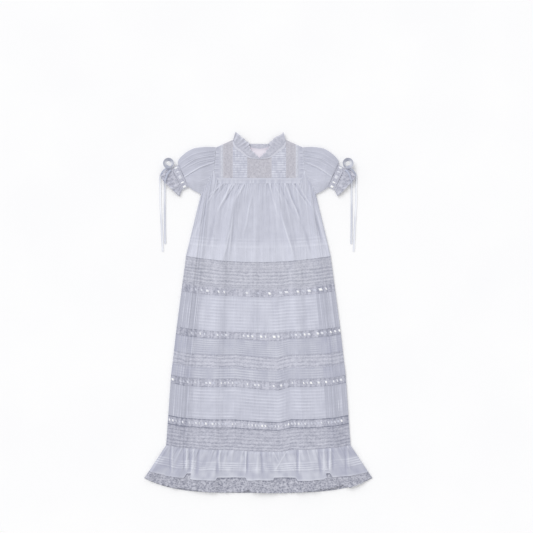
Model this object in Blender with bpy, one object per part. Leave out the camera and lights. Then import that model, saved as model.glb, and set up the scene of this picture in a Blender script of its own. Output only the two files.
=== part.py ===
"""Christening gown laid out flat, face up.

A yoke of lace strips and pin tucks, puffed sleeves with ribbon bows, and a skirt that fans out
in bands of lace, ribbon beading and tucks to a ruffled, lace-edged hem. The back lies flat on
the surface and the front lies on the back. +X is to the right as seen from above, +Y runs from
hem to neck, +Z is up, and the origin is under the middle of the gown. Left and right are the
viewer's. Every size is in millimetres and becomes metres in add_mesh.
"""

import math

import bpy

MM = 0.001

# Cloth
WALL = 1.2
GAP = 0.3  # between pieces at a seam, and between layers
FRONT = WALL + GAP  # height of the front's inner face over the surface
TUCK = 0.8  # how far a pressed tuck stands up
TUCK_STEP = 0.9  # how far below its edge the cloth is level again
TUCKED_MARGIN = 0.06  # plain cloth above and below a band's tucks, as a share of its depth
ENTREDEUX = 0.5  # raised edge of a ribbon beading
ENTREDEUX_AT = 1.6  # its distance from the seam
RIBBON = 0.8  # thickness of the satin ribbon
RIBBON_HALF = 3.9  # half its width
TAIL_HALF = 2.0  # half the width of the narrow ribbon in the bows

# Yoke, as distances from the middle
YOKE_SEAM = 297.6  # where the skirt is gathered on
YOKE_PANELS = 310.2  # where the lace strips and tucks begin, above a plain band
CENTRE_LACE = 28.0
TUCKED_TO = 61.2
LACE_STRIP_TO = 83.5
ENTREDEUX_TO = 89.2
YOKE_CORNER = 95.0
YOKE_DRIFT = 2.6  # the yoke lies this far to the right of the skirt's middle
YOKE_TUCKS = 9
YOKE_TUCKS_TOP = 383.0
YOKE_TUCKS_MARGIN = 3.0
YOKE_TUCKS_ROWS = (YOKE_TUCKS_TOP, 370.0, 358.5, 340.0)  # inner rows, which follow the neck
SHOULDER = ((62.1, 397.6), (99.6, 380.6))
SHOULDER_TO = 99.6
SKIRT_POINT = (104.6, 328.0)  # top of the skirt's corner, beside the yoke
UNDERARM = (131.8, 273.5)
ARMHOLE = (SHOULDER[1], SKIRT_POINT, (112.5, 312.0), (121.0, 294.0), UNDERARM)
YOKE_SIDE = ((380.6, 99.6), (328.0, 104.6), (297.6, 95.0))  # height, distance from the middle
NECK_SEAM = ((61.6, 393.0), (58.2, 381.5), (42.1, 370.0), (26.0, 358.5), (0.0, 354.0))
NECK_EDGE = ((52.4, 416.0), (35.2, 405.7), (19.1, 390.7), (9.9, 379.2), (0.4, 357.6))
NECK_WAVES = 9  # in each half of the front's neck ruffle
NECK_WAVE = 2.6
NECK_STAND = 2.2  # how far the ruffle arches over the yoke
BACK_NECK = ((62.1, 397.6), (36.0, 390.0), (16.8, 380.0), (0.0, 369.0))
BACK_NECK_EDGE = 388.6
BACK_RUFFLE_HALF = 46.0
BACK_RUFFLE_RISE = 14.0  # how far its edge climbs from the middle to the shoulders

# Skirt: middle height, half width, how far the side lies above the middle, sharpness of that rise
SKIRT_SHAPE = (
    (117.0, 166.0, 14.0, 2.0),
    (-45.2, 187.3, 14.0, 2.0),
    (-156.0, 200.3, 14.0, 2.0),
    (-317.7, 211.7, 14.0, 2.2),
    (-382.0, 253.0, 15.8, 4.0),
    (-413.2, 262.0, 33.5, 4.0),
)
# Share of the half width, distance from the middle and height along the skirt's upper edge
SKIRT_TOP = (
    (0.0, 0.0, YOKE_SEAM),
    (0.60, YOKE_CORNER, YOKE_SEAM),
    (0.68, *SKIRT_POINT),
    (0.78, 112.5, 312.0),
    (0.88, 121.0, 294.0),
    (1.0, *UNDERARM),
)
GATHERS = 26  # along the yoke seam
GATHER = 2.3
GATHERED_TO = 0.34  # share of the way down at which the gathers have died away
SIDE_START = 0.6  # share of the half width at which the skirt's corner beside the yoke begins

# Bands of the skirt under its upper part, from the top down: name, kind, depth, tucks
BANDS = (
    ("lace_band_upper", "lace", 63.0, 0),
    ("beading_1", "beading", 17.4, 0),
    ("tucked_panel_upper", "tucks", 81.8, 8),
    ("beading_2", "beading", 17.2, 0),
    ("fine_tucks", "tucks", 38.0, 6),
    ("lace_insertion", "lace", 29.8, 0),
    ("narrow_tucks", "tucks", 25.8, 3),
    ("beading_3", "beading", 18.4, 0),
    ("tucked_panel_lower", "tucks", 73.6, 8),
    ("beading_4", "beading", 20.6, 0),
    ("lace_band_lower", "lace", 49.1, 0),
)
SKIRT_START = 117.0
HEM_LACE_TOP = -382.0
HEM = -413.2
MIDDLE = (NECK_EDGE[0][1] + HEM) / 2  # between the neck ruffle's peaks and the hem
UPPER_TUCKS = (166.2, 158.9, 149.0)  # middle heights of the three in the upper skirt
UPPER_TUCK_RISE = 8.0
UPPER_TUCKS_AHEAD = 6.0  # the cloth is level down to this height over the first

# Folds of the front: place at the yoke seam and at the first band as a share of the half
# width, half breadth in the same share, height
FOLDS = (
    (-0.86, -0.86, 0.060, 3.4),
    (-0.30, -0.50, 0.130, 4.2),
    (0.04, -0.06, 0.070, 1.6),
    (0.25, 0.51, 0.120, 4.4),
    (0.84, 0.86, 0.060, 3.4),
)
SIDE_PLEATS = (0.80, 0.92)
SIDE_PLEAT = 1.6
SIDE_PLEAT_HALF = 0.06
SIDE_QUIET = 0.04  # the folds die away over this share before the side seam
FOLD_FADE = (117.0, -320.0, 0.45)  # from, to, share of its height that a fold keeps

# Ruffle: place of each fold edge as a share of the half width, and height of the cloth past it
RUFFLE_LEVELS = (
    (-0.965, 3.6),
    (-0.88, 1.4),
    (-0.77, 4.6),
    (-0.69, 1.6),
    (-0.61, 5.4),
    (-0.365, 2.2),
    (-0.10, 5.8),
    (0.13, 2.4),
    (0.35, 5.4),
    (0.545, 1.8),
    (0.62, 4.4),
    (0.70, 1.4),
    (0.78, 4.8),
    (0.90, 1.2),
)
RUFFLE_EDGE = 0.012  # half breadth of the step at a fold edge
RUFFLE_SIDE = 0.985  # share of the half width at which the last column before the side lies
RUFFLE_QUIET = 0.03
RUFFLE_SEAM_SHARE = 0.3  # share of a wave's height at the gathered seam
RUFFLE_DEPTH = 64.3
RUFFLE_GATHERED = 8.0  # depth of the short gathers under the seam
RUFFLE_TUCKS = 3
RUFFLE_TUCK_START = 2.0  # height of the first tuck over the ruffle's middle
RUFFLE_TUCK_APART = 6.6
RUFFLE_TUCKS_AHEAD = 6.0
SCALLOPS = 42
SCALLOP = 1.8

# Sleeve, in distances from the middle: armhole, cuff line, upper and lower outline
SLEEVE_HEAD_GAP = 0.2  # added across to the gap that the body's pieces leave at the armhole
SLEEVE_UPPER = (
    (99.8, 380.6), (120.0, 383.0), (143.1, 378.0), (165.1, 369.0), (181.0, 355.6), (183.4, 340.2),
)
SLEEVE_LOWER = ((132.0, 273.5), (141.5, 275.8), (152.2, 281.0), (160.6, 290.3))
SLEEVE_CUFF = ((183.4, 340.2), (160.6, 290.3))
CUFF_END = ((197.8, 333.3), (175.0, 283.4))
CUFF_WIDE = 16.0
CUFF_LONG = 55.0
CUFF_CROWN = 3.2
CUFF_LACE_START = ((198.1, 333.2), (175.3, 283.3))
CUFF_LACE_EDGE = ((209.0, 330.5), (222.5, 312.0), (203.5, 289.0), (181.9, 268.4))
CUFF_LACE_UPPER = ((198.1, 333.2), (209.0, 330.5))
CUFF_LACE_LOWER = ((175.3, 283.3), (181.9, 268.4))
CUFF_LACE_CROWN = 2.4
CUFF_LACE_WAVES = 6
CUFF_LACE_WAVE = 2.2
SLEEVE_SIDE = 4.2  # height of the sleeve's folded side
SLEEVE_CROWN = ((0.0, 4.0), (0.25, 10.0), (0.55, 13.5), (0.85, 9.0), (1.0, 4.5))
SLEEVE_FOLDS = 9
SLEEVE_FOLD = 2.2

# Bow: loop centre, its radius, and the tails' routes as distance from the middle, height, lift
BOW_CENTRE = (205.8, 343.8)
BOW_RADIUS = 8.6
BOW_KNOT = -0.95  # angle at which the loop meets the cuff
BOW_KNOT_SPAN = 0.75  # radians to either side over which the ribbon thickens to the knot
BOW_KNOT_REACH = 1.2
BOW_KNOT_THICK = 2.0
BOW_KNOT_SQUEEZE = 0.15
BOW_HALF_WALL = 0.6
BOW_LEAN = 0.9
BOW_LIFT = (6.1, 8.6)  # middle height of the ribbon at the knot, and away from it
BOW_RIBBON = 4.2
OUTER_TAIL = (
    (203.6, 331.0, 7.4),
    (211.0, 331.2, 7.8),
    (218.8, 325.0, 6.2),
    (224.8, 314.0, 2.2),
    (225.8, 301.0, 0.9),
    (225.0, 281.0, 0.8),
    (225.2, 262.0, 0.8),
    (224.0, 232.0, 0.8),
    (222.4, 205.0, 0.8),
    (221.0, 172.0, 0.8),
    (219.4, 141.4, 0.8),
)
INNER_TAIL = (
    (200.4, 328.6, 8.0),
    (207.5, 320.0, 9.8),
    (211.5, 310.0, 10.4),
    (213.8, 300.5, 10.2),
    (214.6, 288.0, 1.6),
    (214.8, 270.0, 0.8),
    (214.9, 240.0, 0.8),
    (214.6, 200.0, 0.8),
    (214.0, 158.9, 0.8),
)
TAIL_STATIONS = 20

# Finishes: sRGB colour, roughness
FINISHES = {
    "batiste": ((0.93, 0.93, 0.95), 0.85),
    "lace": ((0.88, 0.88, 0.90), 0.9),
    "beading": ((0.95, 0.95, 0.97), 0.85),
    "satin": ((1.0, 1.0, 1.0), 0.3),
}


def clear_scene():
    for old in list(bpy.data.objects):
        bpy.data.objects.remove(old, do_unlink=True)


def make_collection():
    gown = bpy.data.collections.new("christening_gown")
    bpy.context.scene.collection.children.link(gown)
    return gown


def finish(name, kind):
    colour, roughness = FINISHES[kind]
    material = bpy.data.materials.new(name)
    material.use_nodes = True
    shader = material.node_tree.nodes["Principled BSDF"]
    shader.inputs["Base Color"].default_value = (*colour, 1.0)
    shader.inputs["Roughness"].default_value = roughness
    shader.inputs["Metallic"].default_value = 0.0
    return material


def add_mesh(gown, name, points, faces, kind):
    mesh = bpy.data.meshes.new(name)
    mesh.from_pydata([(x * MM, y * MM, z * MM) for x, y, z in points], [], faces)
    mesh.shade_smooth()
    mesh.materials.append(finish(name, kind))
    gown.objects.link(bpy.data.objects.new(name, mesh))


def smooth(share):
    share = min(1.0, max(0.0, share))
    return share * share * (3 - 2 * share)


def mix(a, b, share):
    return a + (b - a) * share


def blend(a, b, share):
    return tuple(mix(p, q, share) for p, q in zip(a, b))


def look_up(table, at, column=1):
    """The column's value where the first column, rising or falling, reaches at."""
    rising = table[-1][0] > table[0][0]
    rows = table if rising else table[::-1]
    if at <= rows[0][0]:
        return rows[0][column]
    for low, high in zip(rows, rows[1:]):
        if at <= high[0]:
            return mix(low[column], high[column], (at - low[0]) / (high[0] - low[0]))
    return rows[-1][column]


def through(points, share):
    """A point on the smooth curve through the given ones, share 0 to 1 along them."""
    place = min(max(share, 0.0), 1.0) * (len(points) - 1)
    first = min(int(place), len(points) - 2)
    part = place - first
    near = [points[min(max(first + step, 0), len(points) - 1)] for step in (-1, 0, 1, 2)]
    values = []
    for a, b, c, d in zip(*near):
        bend = (2 * a - 5 * b + 4 * c - d) * part**2
        turn = (3 * b - a - 3 * c + d) * part**3
        values.append(0.5 * (2 * b + (c - a) * part + bend + turn))
    return tuple(values)


def drift(x, y):
    """The yoke and the sleeve heads lie a little to the right of the skirt's middle."""
    return x + YOKE_DRIFT * smooth((y - 262.0) / 40.0) * (1 - smooth((abs(x) - 104.0) / 70.0))


def laid(point):
    """A point moved to where the yoke drifts, and to the frame whose origin is the gown's middle."""
    x, y, z = point
    return (drift(x, y), y - MIDDLE, z)


def zip_side(first, second):
    """Triangles that close the strip between two chains of points of unlike count."""
    faces = []
    i = j = 0
    while i < len(first) - 1 or j < len(second) - 1:
        ahead = (i + 1) / (len(first) - 1)
        behind = (j + 1) / (len(second) - 1)
        if j == len(second) - 1 or (i < len(first) - 1 and ahead <= behind):
            faces.append((first[i + 1], first[i], second[j]))
            i += 1
        else:
            faces.append((first[i], second[j], second[j + 1]))
            j += 1
    return faces


def grid_faces(start, rows, columns):
    faces = []
    for r in range(rows - 1):
        for c in range(columns - 1):
            here = start + r * columns + c
            below = here + columns
            faces.append((here, below, below + 1, here + 1))
    return faces


def cloth(gown, name, outer, inner, kind):
    """A wall of cloth between two grids of points, which share their columns but not their rows."""
    first, beside, below = outer[0][0], outer[0][1], outer[1][0]
    across = (beside[0] - first[0], beside[1] - first[1])
    down = (below[0] - first[0], below[1] - first[1])
    if across[0] * down[1] - across[1] * down[0] > 0:
        outer = [row[::-1] for row in outer]
        inner = [row[::-1] for row in inner]
    columns = len(outer[0])
    under = len(outer) * columns
    points = [laid(point) for row in outer + inner for point in row]
    faces = grid_faces(0, len(outer), columns)
    faces += [face[::-1] for face in grid_faces(under, len(inner), columns)]
    last_outer = (len(outer) - 1) * columns
    last_inner = under + (len(inner) - 1) * columns
    for c in range(columns - 1):
        faces.append((c, c + 1, under + c + 1, under + c))
        faces.append((last_outer + c + 1, last_outer + c, last_inner + c, last_inner + c + 1))
    left = zip_side(range(0, last_outer + 1, columns), range(under, last_inner + 1, columns))
    right = zip_side(
        range(columns - 1, last_outer + columns, columns),
        range(under + columns - 1, last_inner + columns, columns),
    )
    faces += left + [face[::-1] for face in right]
    add_mesh(gown, name, points, faces, kind)


def bump(distance, half):
    return 0.5 + 0.5 * math.cos(math.pi * distance / half) if abs(distance) < half else 0.0


def front_fold(share, y):
    """Height of the front's folds over its plain level, at a share of the half width."""
    down = min(1.0, max(0.0, (YOKE_SEAM - y) / (YOKE_SEAM - SKIRT_START)))
    start, end, kept = FOLD_FADE
    fade = mix(1.0, kept, smooth((start - y) / (start - end)))
    height = 0.0
    for at_seam, at_band, half, high in FOLDS:
        height += high * bump(share - mix(at_seam, at_band, down), half) * fade
    for place in SIDE_PLEATS:
        height += SIDE_PLEAT * bump(abs(share) - place, SIDE_PLEAT_HALF) * fade * smooth(down)
    return height * smooth((1 - abs(share)) / SIDE_QUIET)


def skirt_point(share, middle):
    """Where a row of the skirt, named by its height at the middle, lies at a share of its half width."""
    half = look_up(SKIRT_SHAPE, middle, 1)
    rise = look_up(SKIRT_SHAPE, middle, 2)
    power = look_up(SKIRT_SHAPE, middle, 3)
    return (share * half, middle + rise * abs(share) ** power)


def even(count, low=-1.0, high=1.0):
    return [low + (high - low) * i / count for i in range(count + 1)]


def mirrored(half):
    return [-share for share in reversed(half) if share > 0] + list(half)


BAND_COLUMNS = mirrored((0.0, 0.20, 0.38, 0.50, 0.62, 0.74, 0.80, 0.86, 0.92, 1.0))
BACK_COLUMNS = even(12)


def tuck_rows(top, bottom, count, margin):
    """Rows from top to bottom as (height, raise): each tuck swells downwards and ends in a step."""
    pitch = (top - bottom - 2 * margin) / count
    rows = [(top, 0.0)]
    for i in range(count):
        edge = top - margin - (i + 0.75) * pitch
        rows += [(edge, TUCK), (edge - TUCK_STEP, 0.0)]
    return rows + [(bottom, 0.0)]


def skirt_band(gown, name, rows, inner_rows, kind, columns=BAND_COLUMNS, fold=front_fold):
    outer = [
        [(*skirt_point(s, y), FRONT + WALL + lift + fold(s, y)) for s in columns] for y, lift in rows
    ]
    inner = [[(*skirt_point(s, y), FRONT + fold(s, y)) for s in columns] for y in inner_rows]
    cloth(gown, name, outer, inner, kind)


def back_band(gown, name, top, bottom, kind):
    outer = [[(*skirt_point(s, y), WALL) for s in BACK_COLUMNS] for y in (top, bottom)]
    inner = [[(*skirt_point(s, y), 0.0) for s in BACK_COLUMNS] for y in (top, bottom)]
    cloth(gown, name, outer, inner, kind)


def beading_ribbon(gown, name, top, bottom):
    """Satin ribbon that lies on the beading, from the same rows moved out."""
    ride = FRONT + WALL + GAP
    outer = [
        [(*skirt_point(s, y), ride + RIBBON + front_fold(s, y)) for s in BAND_COLUMNS]
        for y in (top, bottom)
    ]
    inner = [[(*skirt_point(s, y), ride + front_fold(s, y)) for s in BAND_COLUMNS] for y in (top, bottom)]
    cloth(gown, name, outer, inner, "satin")


def skirt_bands(gown):
    top = SKIRT_START
    for name, kind, depth, tucks in BANDS:
        high = top - GAP / 2
        low = top - depth + GAP / 2
        middle = (high + low) / 2
        if kind == "tucks":
            rows = tuck_rows(high, low, tucks, TUCKED_MARGIN * depth)
        elif kind == "beading":
            ribbon = (middle + RIBBON_HALF, middle - RIBBON_HALF)
            rows = [
                (high, 0.0),
                (high - ENTREDEUX_AT, ENTREDEUX),
                (ribbon[0], 0.0),
                (ribbon[1], 0.0),
                (low + ENTREDEUX_AT, ENTREDEUX),
                (low, 0.0),
            ]
            beading_ribbon(gown, name.replace("beading", "ribbon"), *ribbon)
        else:
            rows = [(high, 0.0), (middle, 0.0), (low, 0.0)]
        finish_kind = "batiste" if kind == "tucks" else kind
        skirt_band(gown, name + "_front", rows, (high, low), finish_kind)
        back_band(gown, name + "_back", high, low, finish_kind)
        top -= depth


def upper_skirt(gown):
    """The part under the yoke: gathered along the seam, with its corners running up beside it."""
    gathered = even(2 * GATHERS, -SIDE_START, SIDE_START)
    corner = (0.68, 0.73, 0.78, 0.83, 0.88, 0.94, 1.0)
    columns = [-s for s in reversed(corner)] + gathered + list(corner)

    def place(s, t):
        side = math.copysign(1.0, s)
        gap = GAP / 2 if abs(s) <= SIDE_START else GAP
        top = (side * look_up(SKIRT_TOP, abs(s), 1), look_up(SKIRT_TOP, abs(s), 2) - gap)
        return blend(top, skirt_point(s, SKIRT_START + GAP / 2), t)

    def height(index, t):
        s = columns[index]
        x, y = place(s, t)
        inside = abs(s) < SIDE_START and index % 2
        gather = GATHER * (1 - smooth(t / GATHERED_TO)) if inside else 0.0
        return front_fold(s, min(y, YOKE_SEAM)) * smooth(t / 0.25) + gather

    def row(t):
        """How far down each column is, where a share of the way is given."""
        return [t] * len(columns)

    def level(middle):
        """How far down each column meets a level row, named by its height at the middle."""
        shares = []
        for s in columns:
            high = place(s, 0.0)[1]
            low = place(s, 1.0)[1]
            shares.append((high - middle - UPPER_TUCK_RISE * s * s) / (high - low))
        return shares

    rows = [(row(t), 0.0) for t in (0.0, 0.05, 0.13, 0.24, 0.38, 0.55)]
    rows.append((level(UPPER_TUCKS[0] + UPPER_TUCKS_AHEAD), 0.0))
    for edge in UPPER_TUCKS:
        rows += [(level(edge), TUCK), (level(edge - TUCK_STEP), 0.0)]
    rows.append((row(1.0), 0.0))
    outer = [
        [(*place(s, t), FRONT + WALL + lift + height(i, t)) for i, (s, t) in enumerate(zip(columns, shares))]
        for shares, lift in rows
    ]
    inner = [
        [(*place(s, t), FRONT + height(i, t)) for i, s in enumerate(columns)]
        for t in (0.0, 0.13, 0.24, 0.38, 0.70, 1.0)
    ]
    cloth(gown, "upper_skirt_front", outer, inner, "batiste")
    flat = [-s for s in reversed(corner)] + [-SIDE_START, 0.0, SIDE_START] + list(corner)
    grids = [[[(*place(s, t), z) for s in flat] for t in (0.0, 1.0)] for z in (WALL, 0.0)]
    cloth(gown, "upper_skirt_back", *grids, "batiste")


def ruffle_fold(share, down):
    """Height of the ruffle's laid waves, which grow from the gathered seam to the hem."""
    level = RUFFLE_LEVELS[0][1] * smooth((share + 1) / RUFFLE_QUIET)
    before = RUFFLE_LEVELS[0][1]
    for edge, high in RUFFLE_LEVELS[1:]:
        level += (high - before) * smooth((share - edge + RUFFLE_EDGE) / (2 * RUFFLE_EDGE))
        before = high
    level *= smooth((1 - share) / RUFFLE_QUIET)
    return level * mix(RUFFLE_SEAM_SHARE, 1.0, smooth(down))


def ruffle(gown):
    columns = {-1.0, 1.0, -RUFFLE_SIDE, RUFFLE_SIDE}
    for (edge, _), (after, _) in zip(RUFFLE_LEVELS[1:], RUFFLE_LEVELS[2:] + ((RUFFLE_SIDE, 0.0),)):
        columns |= {edge - RUFFLE_EDGE, edge + RUFFLE_EDGE, round((edge + after) / 2, 4)}
    columns = sorted(columns)
    top = HEM_LACE_TOP + RUFFLE_DEPTH - GAP / 2
    bottom = HEM_LACE_TOP + GAP / 2
    middle = (top + bottom) / 2

    def fold(s, y):
        return ruffle_fold(s, (top - y) / (top - bottom))

    tucks = []
    for i in range(RUFFLE_TUCKS):
        edge = middle + RUFFLE_TUCK_START - i * RUFFLE_TUCK_APART
        tucks += [(edge, TUCK), (edge - TUCK_STEP, 0.0)]
    plain = [(top, 0.0), (top - RUFFLE_GATHERED, 0.0), (middle + RUFFLE_TUCKS_AHEAD, 0.0)]
    rows = [*plain, *tucks, (bottom, 0.0)]
    skirt_band(gown, "ruffle_front", rows, (top, middle, bottom), "batiste", columns, fold)
    back_band(gown, "ruffle_back", top, bottom, "batiste")


def hem_lace(gown):
    columns = even(2 * SCALLOPS)
    top = HEM_LACE_TOP - GAP / 2
    rows = (0.0, 0.5, 1.0)

    def place(i, t, scallop):
        s = columns[i]
        x, y = blend(skirt_point(s, top), skirt_point(s, HEM), t)
        return (x, y + (scallop if i % 2 == 0 else 0.0) * t)

    outer = [
        [(*place(i, t, SCALLOP), FRONT + WALL + ruffle_fold(s, 1.0)) for i, s in enumerate(columns)]
        for t in rows
    ]
    inner = [
        [(*place(i, t, SCALLOP), FRONT + ruffle_fold(s, 1.0)) for i, s in enumerate(columns)]
        for t in (0.0, 1.0)
    ]
    cloth(gown, "hem_lace_front", outer, inner, "lace")
    back = even(24)
    grids = [
        [[(*blend(skirt_point(s, top), skirt_point(s, HEM), t), z) for s in back] for t in (0.0, 1.0)]
        for z in (WALL, 0.0)
    ]
    cloth(gown, "hem_lace_back", *grids, "lace")


def shoulder_height(x):
    return look_up(SHOULDER, x)


def yoke_strip(gown, name, side, near, far, kind, lifts=None):
    """A piece of the front yoke between two distances from the middle, up to the shoulder."""
    xs = [near + GAP / 2, (near + far) / 2, far - GAP / 2]
    lifts = lifts or [(0.0, 0.0), (1.0, 0.0)]
    outer = []
    for t, lift in lifts:
        outer.append([
            (side * x, mix(shoulder_height(x) - GAP, YOKE_PANELS + GAP / 2, t), FRONT + WALL + lift)
            for x in xs
        ])
    inner = [
        [(side * x, mix(shoulder_height(x) - GAP, YOKE_PANELS + GAP / 2, t), FRONT) for x in xs]
        for t in (0.0, 1.0)
    ]
    cloth(gown, name, outer, inner, kind)


def neck_distance(y):
    """How far from the middle the front's neck seam lies at a height."""
    return look_up(tuple((high, x) for x, high in NECK_SEAM), y)


def yoke_side(gown, name, side):
    """The plain cloth between the entredeux and the armhole."""
    def grid(z):
        rows = []
        for t in (0.0, 0.3, 0.6, 0.8, 1.0):
            row = []
            for s in (0.0, 0.5, 1.0):
                top = shoulder_height(mix(ENTREDEUX_TO, SHOULDER_TO, s)) - GAP
                y = mix(top, YOKE_PANELS + GAP / 2, t)
                x = mix(ENTREDEUX_TO + GAP / 2, look_up(YOKE_SIDE, y) - GAP / 2, s)
                row.append((side * x, y, z))
            rows.append(row)
        return rows

    cloth(gown, name, grid(FRONT + WALL), grid(FRONT), "batiste")


def yoke_tucks(gown, name, side):
    """Level pin tucks that end at the neck seam."""
    foot = YOKE_PANELS + GAP / 2
    rows = tuck_rows(YOKE_TUCKS_TOP, foot, YOKE_TUCKS, YOKE_TUCKS_MARGIN)

    def row(y, z):
        inner_end = max(CENTRE_LACE, neck_distance(y)) + GAP / 2
        return [(side * mix(inner_end, TUCKED_TO - GAP / 2, s), y, z) for s in (0.0, 0.5, 1.0)]

    outer = [row(y, FRONT + WALL + lift) for y, lift in rows]
    inner = [row(y, FRONT) for y in (*YOKE_TUCKS_ROWS, foot)]
    cloth(gown, name, outer, inner, "batiste")


def front_yoke(gown):
    for side, word in ((-1, "left"), (1, "right")):
        yoke_tucks(gown, f"yoke_tucks_{word}", side)
        yoke_strip(gown, f"yoke_lace_{word}", side, TUCKED_TO, LACE_STRIP_TO, "lace")
        yoke_strip(gown, f"yoke_entredeux_{word}", side, LACE_STRIP_TO, ENTREDEUX_TO, "beading")
        yoke_side(gown, f"yoke_side_{word}", side)
    across = even(8)
    top = [(s * (CENTRE_LACE - GAP / 2), look_up(NECK_SEAM, abs(s) * CENTRE_LACE) - GAP) for s in across]
    foot = [(x, YOKE_PANELS + GAP / 2) for x, _ in top]
    grids = [[[(*point, z) for point in row] for row in (top, foot)] for z in (FRONT + WALL, FRONT)]
    cloth(gown, "yoke_centre_lace", *grids, "lace")
    high = YOKE_PANELS - GAP / 2
    low = YOKE_SEAM + GAP / 2
    wide = {y: look_up(YOKE_SIDE, y) - GAP / 2 for y in (high, low)}
    grids = [[[(s * wide[y], y, z) for s in even(6)] for y in (high, low)] for z in (FRONT + WALL, FRONT)]
    cloth(gown, "yoke_band", *grids, "batiste")


def back_yoke(gown):
    """The back in one piece, its neck cut higher than the front's."""
    half = (0.0, 0.1, 0.2, 0.3, 0.42, 0.55, 0.622, 0.8, 1.0)
    rows = []
    point_at = (SHOULDER[1][1] - SKIRT_POINT[1]) / (SHOULDER[1][1] - YOKE_SEAM)
    for t in (0.0, point_at, 1.0):
        row = []
        for s in mirrored(half):
            x = abs(s) * SHOULDER_TO
            top = look_up(BACK_NECK, x) if x < SHOULDER[0][0] else shoulder_height(x)
            y = mix(top, YOKE_SEAM + GAP / 2, t)
            x *= (look_up(YOKE_SIDE, mix(SHOULDER[1][1], YOKE_SEAM, t)) - GAP / 2) / SHOULDER_TO
            row.append((math.copysign(x, s), y))
        rows.append(row)
    grids = [[[(x, y, z) for x, y in row] for row in rows] for z in (WALL, 0.0)]
    cloth(gown, "back_yoke", *grids, "batiste")


def neck_ruffles(gown):
    steps = 2 * NECK_WAVES
    for side, word in ((-1, "left"), (1, "right")):
        grids = []
        for under in (False, True):
            grid = []
            for across in (0.0, 0.5, 1.0):
                row = []
                for i in range(steps + 1):
                    near = through(NECK_SEAM, i / steps)
                    far = through(NECK_EDGE, i / steps)
                    x, y = blend(near, far, across)
                    wave = (NECK_WAVE if i % 2 else 0.0) * across * (1 - 0.7 * i / steps)
                    arch = NECK_STAND * math.sin(math.pi * 0.6 * across)
                    lift = FRONT + WALL + GAP + TUCK + arch + wave
                    row.append((side * (x + GAP), y, lift + (0.0 if under else WALL)))
                grid.append(row)
            grids.append(grid)
        cloth(gown, f"neck_ruffle_{word}", *grids, "lace")
    grids = []
    for z in (WALL, 0.0):
        grid = []
        for across in (1.0, 0.0):
            row = []
            for x in even(16, -BACK_RUFFLE_HALF, BACK_RUFFLE_HALF):
                near = look_up(BACK_NECK, abs(x)) + GAP
                far = BACK_NECK_EDGE + BACK_RUFFLE_RISE * smooth((abs(x) - 18.0) / 30.0)
                row.append((x, mix(near, far, across), z))
            grid.append(row)
        grids.append(grid)
    cloth(gown, "neck_ruffle_back", *grids, "lace")


def armhole(share):
    """A point on the sleeve's side of the armhole seam, straight between its corners."""
    lengths = [math.dist(a, b) for a, b in zip(ARMHOLE, ARMHOLE[1:])]
    left = share * sum(lengths)
    for length, a, b in zip(lengths, ARMHOLE, ARMHOLE[1:]):
        if left <= length or b == UNDERARM:
            x, y = blend(a, b, min(1.0, left / length))
            return (x + SLEEVE_HEAD_GAP, y)
        left -= length


def patch(head, foot, upper, lower, u, t):
    """A point inside four outlines: u from the upper to the lower, t from the head to the foot."""
    a = armhole(u) if head is ARMHOLE else through(head, u)
    b = through(foot, u)
    c = through(upper, t)
    d = through(lower, t)
    corners = [upper[0], lower[0], upper[-1], lower[-1]]
    result = []
    for axis in (0, 1):
        value = mix(a[axis], b[axis], t) + mix(c[axis], d[axis], u)
        value -= mix(
            mix(corners[0][axis], corners[1][axis], u), mix(corners[2][axis], corners[3][axis], u), t
        )
        result.append(value)
    return tuple(result)


def flattened_tube(gown, name, side, outlines, height, columns, rows, inner_rows, kind):
    """An open tube of cloth that lies flat underneath and puffs up above; height is of (u, t)."""
    def ring(t, inset):
        margin = inset * WALL / CUFF_LONG
        top = [mix(margin, 1 - margin, u) for u in columns]
        upper = [(*patch(*outlines, u, t), height(u, t) - inset * WALL) for u in top]
        under = [
            (*patch(*outlines, mix(margin, 1 - margin, u), t), inset * WALL)
            for u in (1.0, 0.8, 0.6, 0.4, 0.2, 0.0)
        ]
        return upper + under

    outer = [ring(t, 0) for t in rows]
    inner = [ring(t, 1) for t in inner_rows]
    count = len(outer[0])
    start = len(outer) * count
    faces = []
    for r in range(len(outer) - 1):
        for c in range(count):
            d = (c + 1) % count
            faces.append((r * count + c, (r + 1) * count + c, (r + 1) * count + d, r * count + d))
    for r in range(len(inner) - 1):
        for c in range(count):
            d = (c + 1) % count
            base = start + r * count
            faces.append((base + c, base + d, base + count + d, base + count + c))
    foot_outer = (len(outer) - 1) * count
    foot_inner = start + (len(inner) - 1) * count
    for c in range(count):
        d = (c + 1) % count
        faces.append((c, d, start + d, start + c))
        faces.append((foot_outer + d, foot_outer + c, foot_inner + c, foot_inner + d))
    points = [laid((side * x, y, z)) for row in outer + inner for x, y, z in row]
    if side > 0:
        faces = [face[::-1] for face in faces]
    add_mesh(gown, name, points, faces, kind)


def sleeve_height(u, t):
    crown = look_up(SLEEVE_CROWN, t)
    body = math.sin(math.pi * min(max(u, 0.0), 1.0)) ** 0.7 if 0 < u < 1 else 0.0
    fold = SLEEVE_FOLD * bump((u * SLEEVE_FOLDS) % 1.0 - 0.5, 0.5) * body
    return SLEEVE_SIDE + crown * body + fold


def cuff_height(u, t):
    return SLEEVE_SIDE + CUFF_CROWN * math.sin(math.pi * min(max(u, 0.0), 1.0))


def cuff_lace_height(u, t):
    body = math.sin(math.pi * min(max(u, 0.0), 1.0)) ** 0.5 if 0 < u < 1 else 0.0
    wave = bump((u * CUFF_LACE_WAVES) % 1.0 - 0.5, 0.5)
    return SLEEVE_SIDE + (CUFF_LACE_CROWN + CUFF_LACE_WAVE * wave * t) * body


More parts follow.
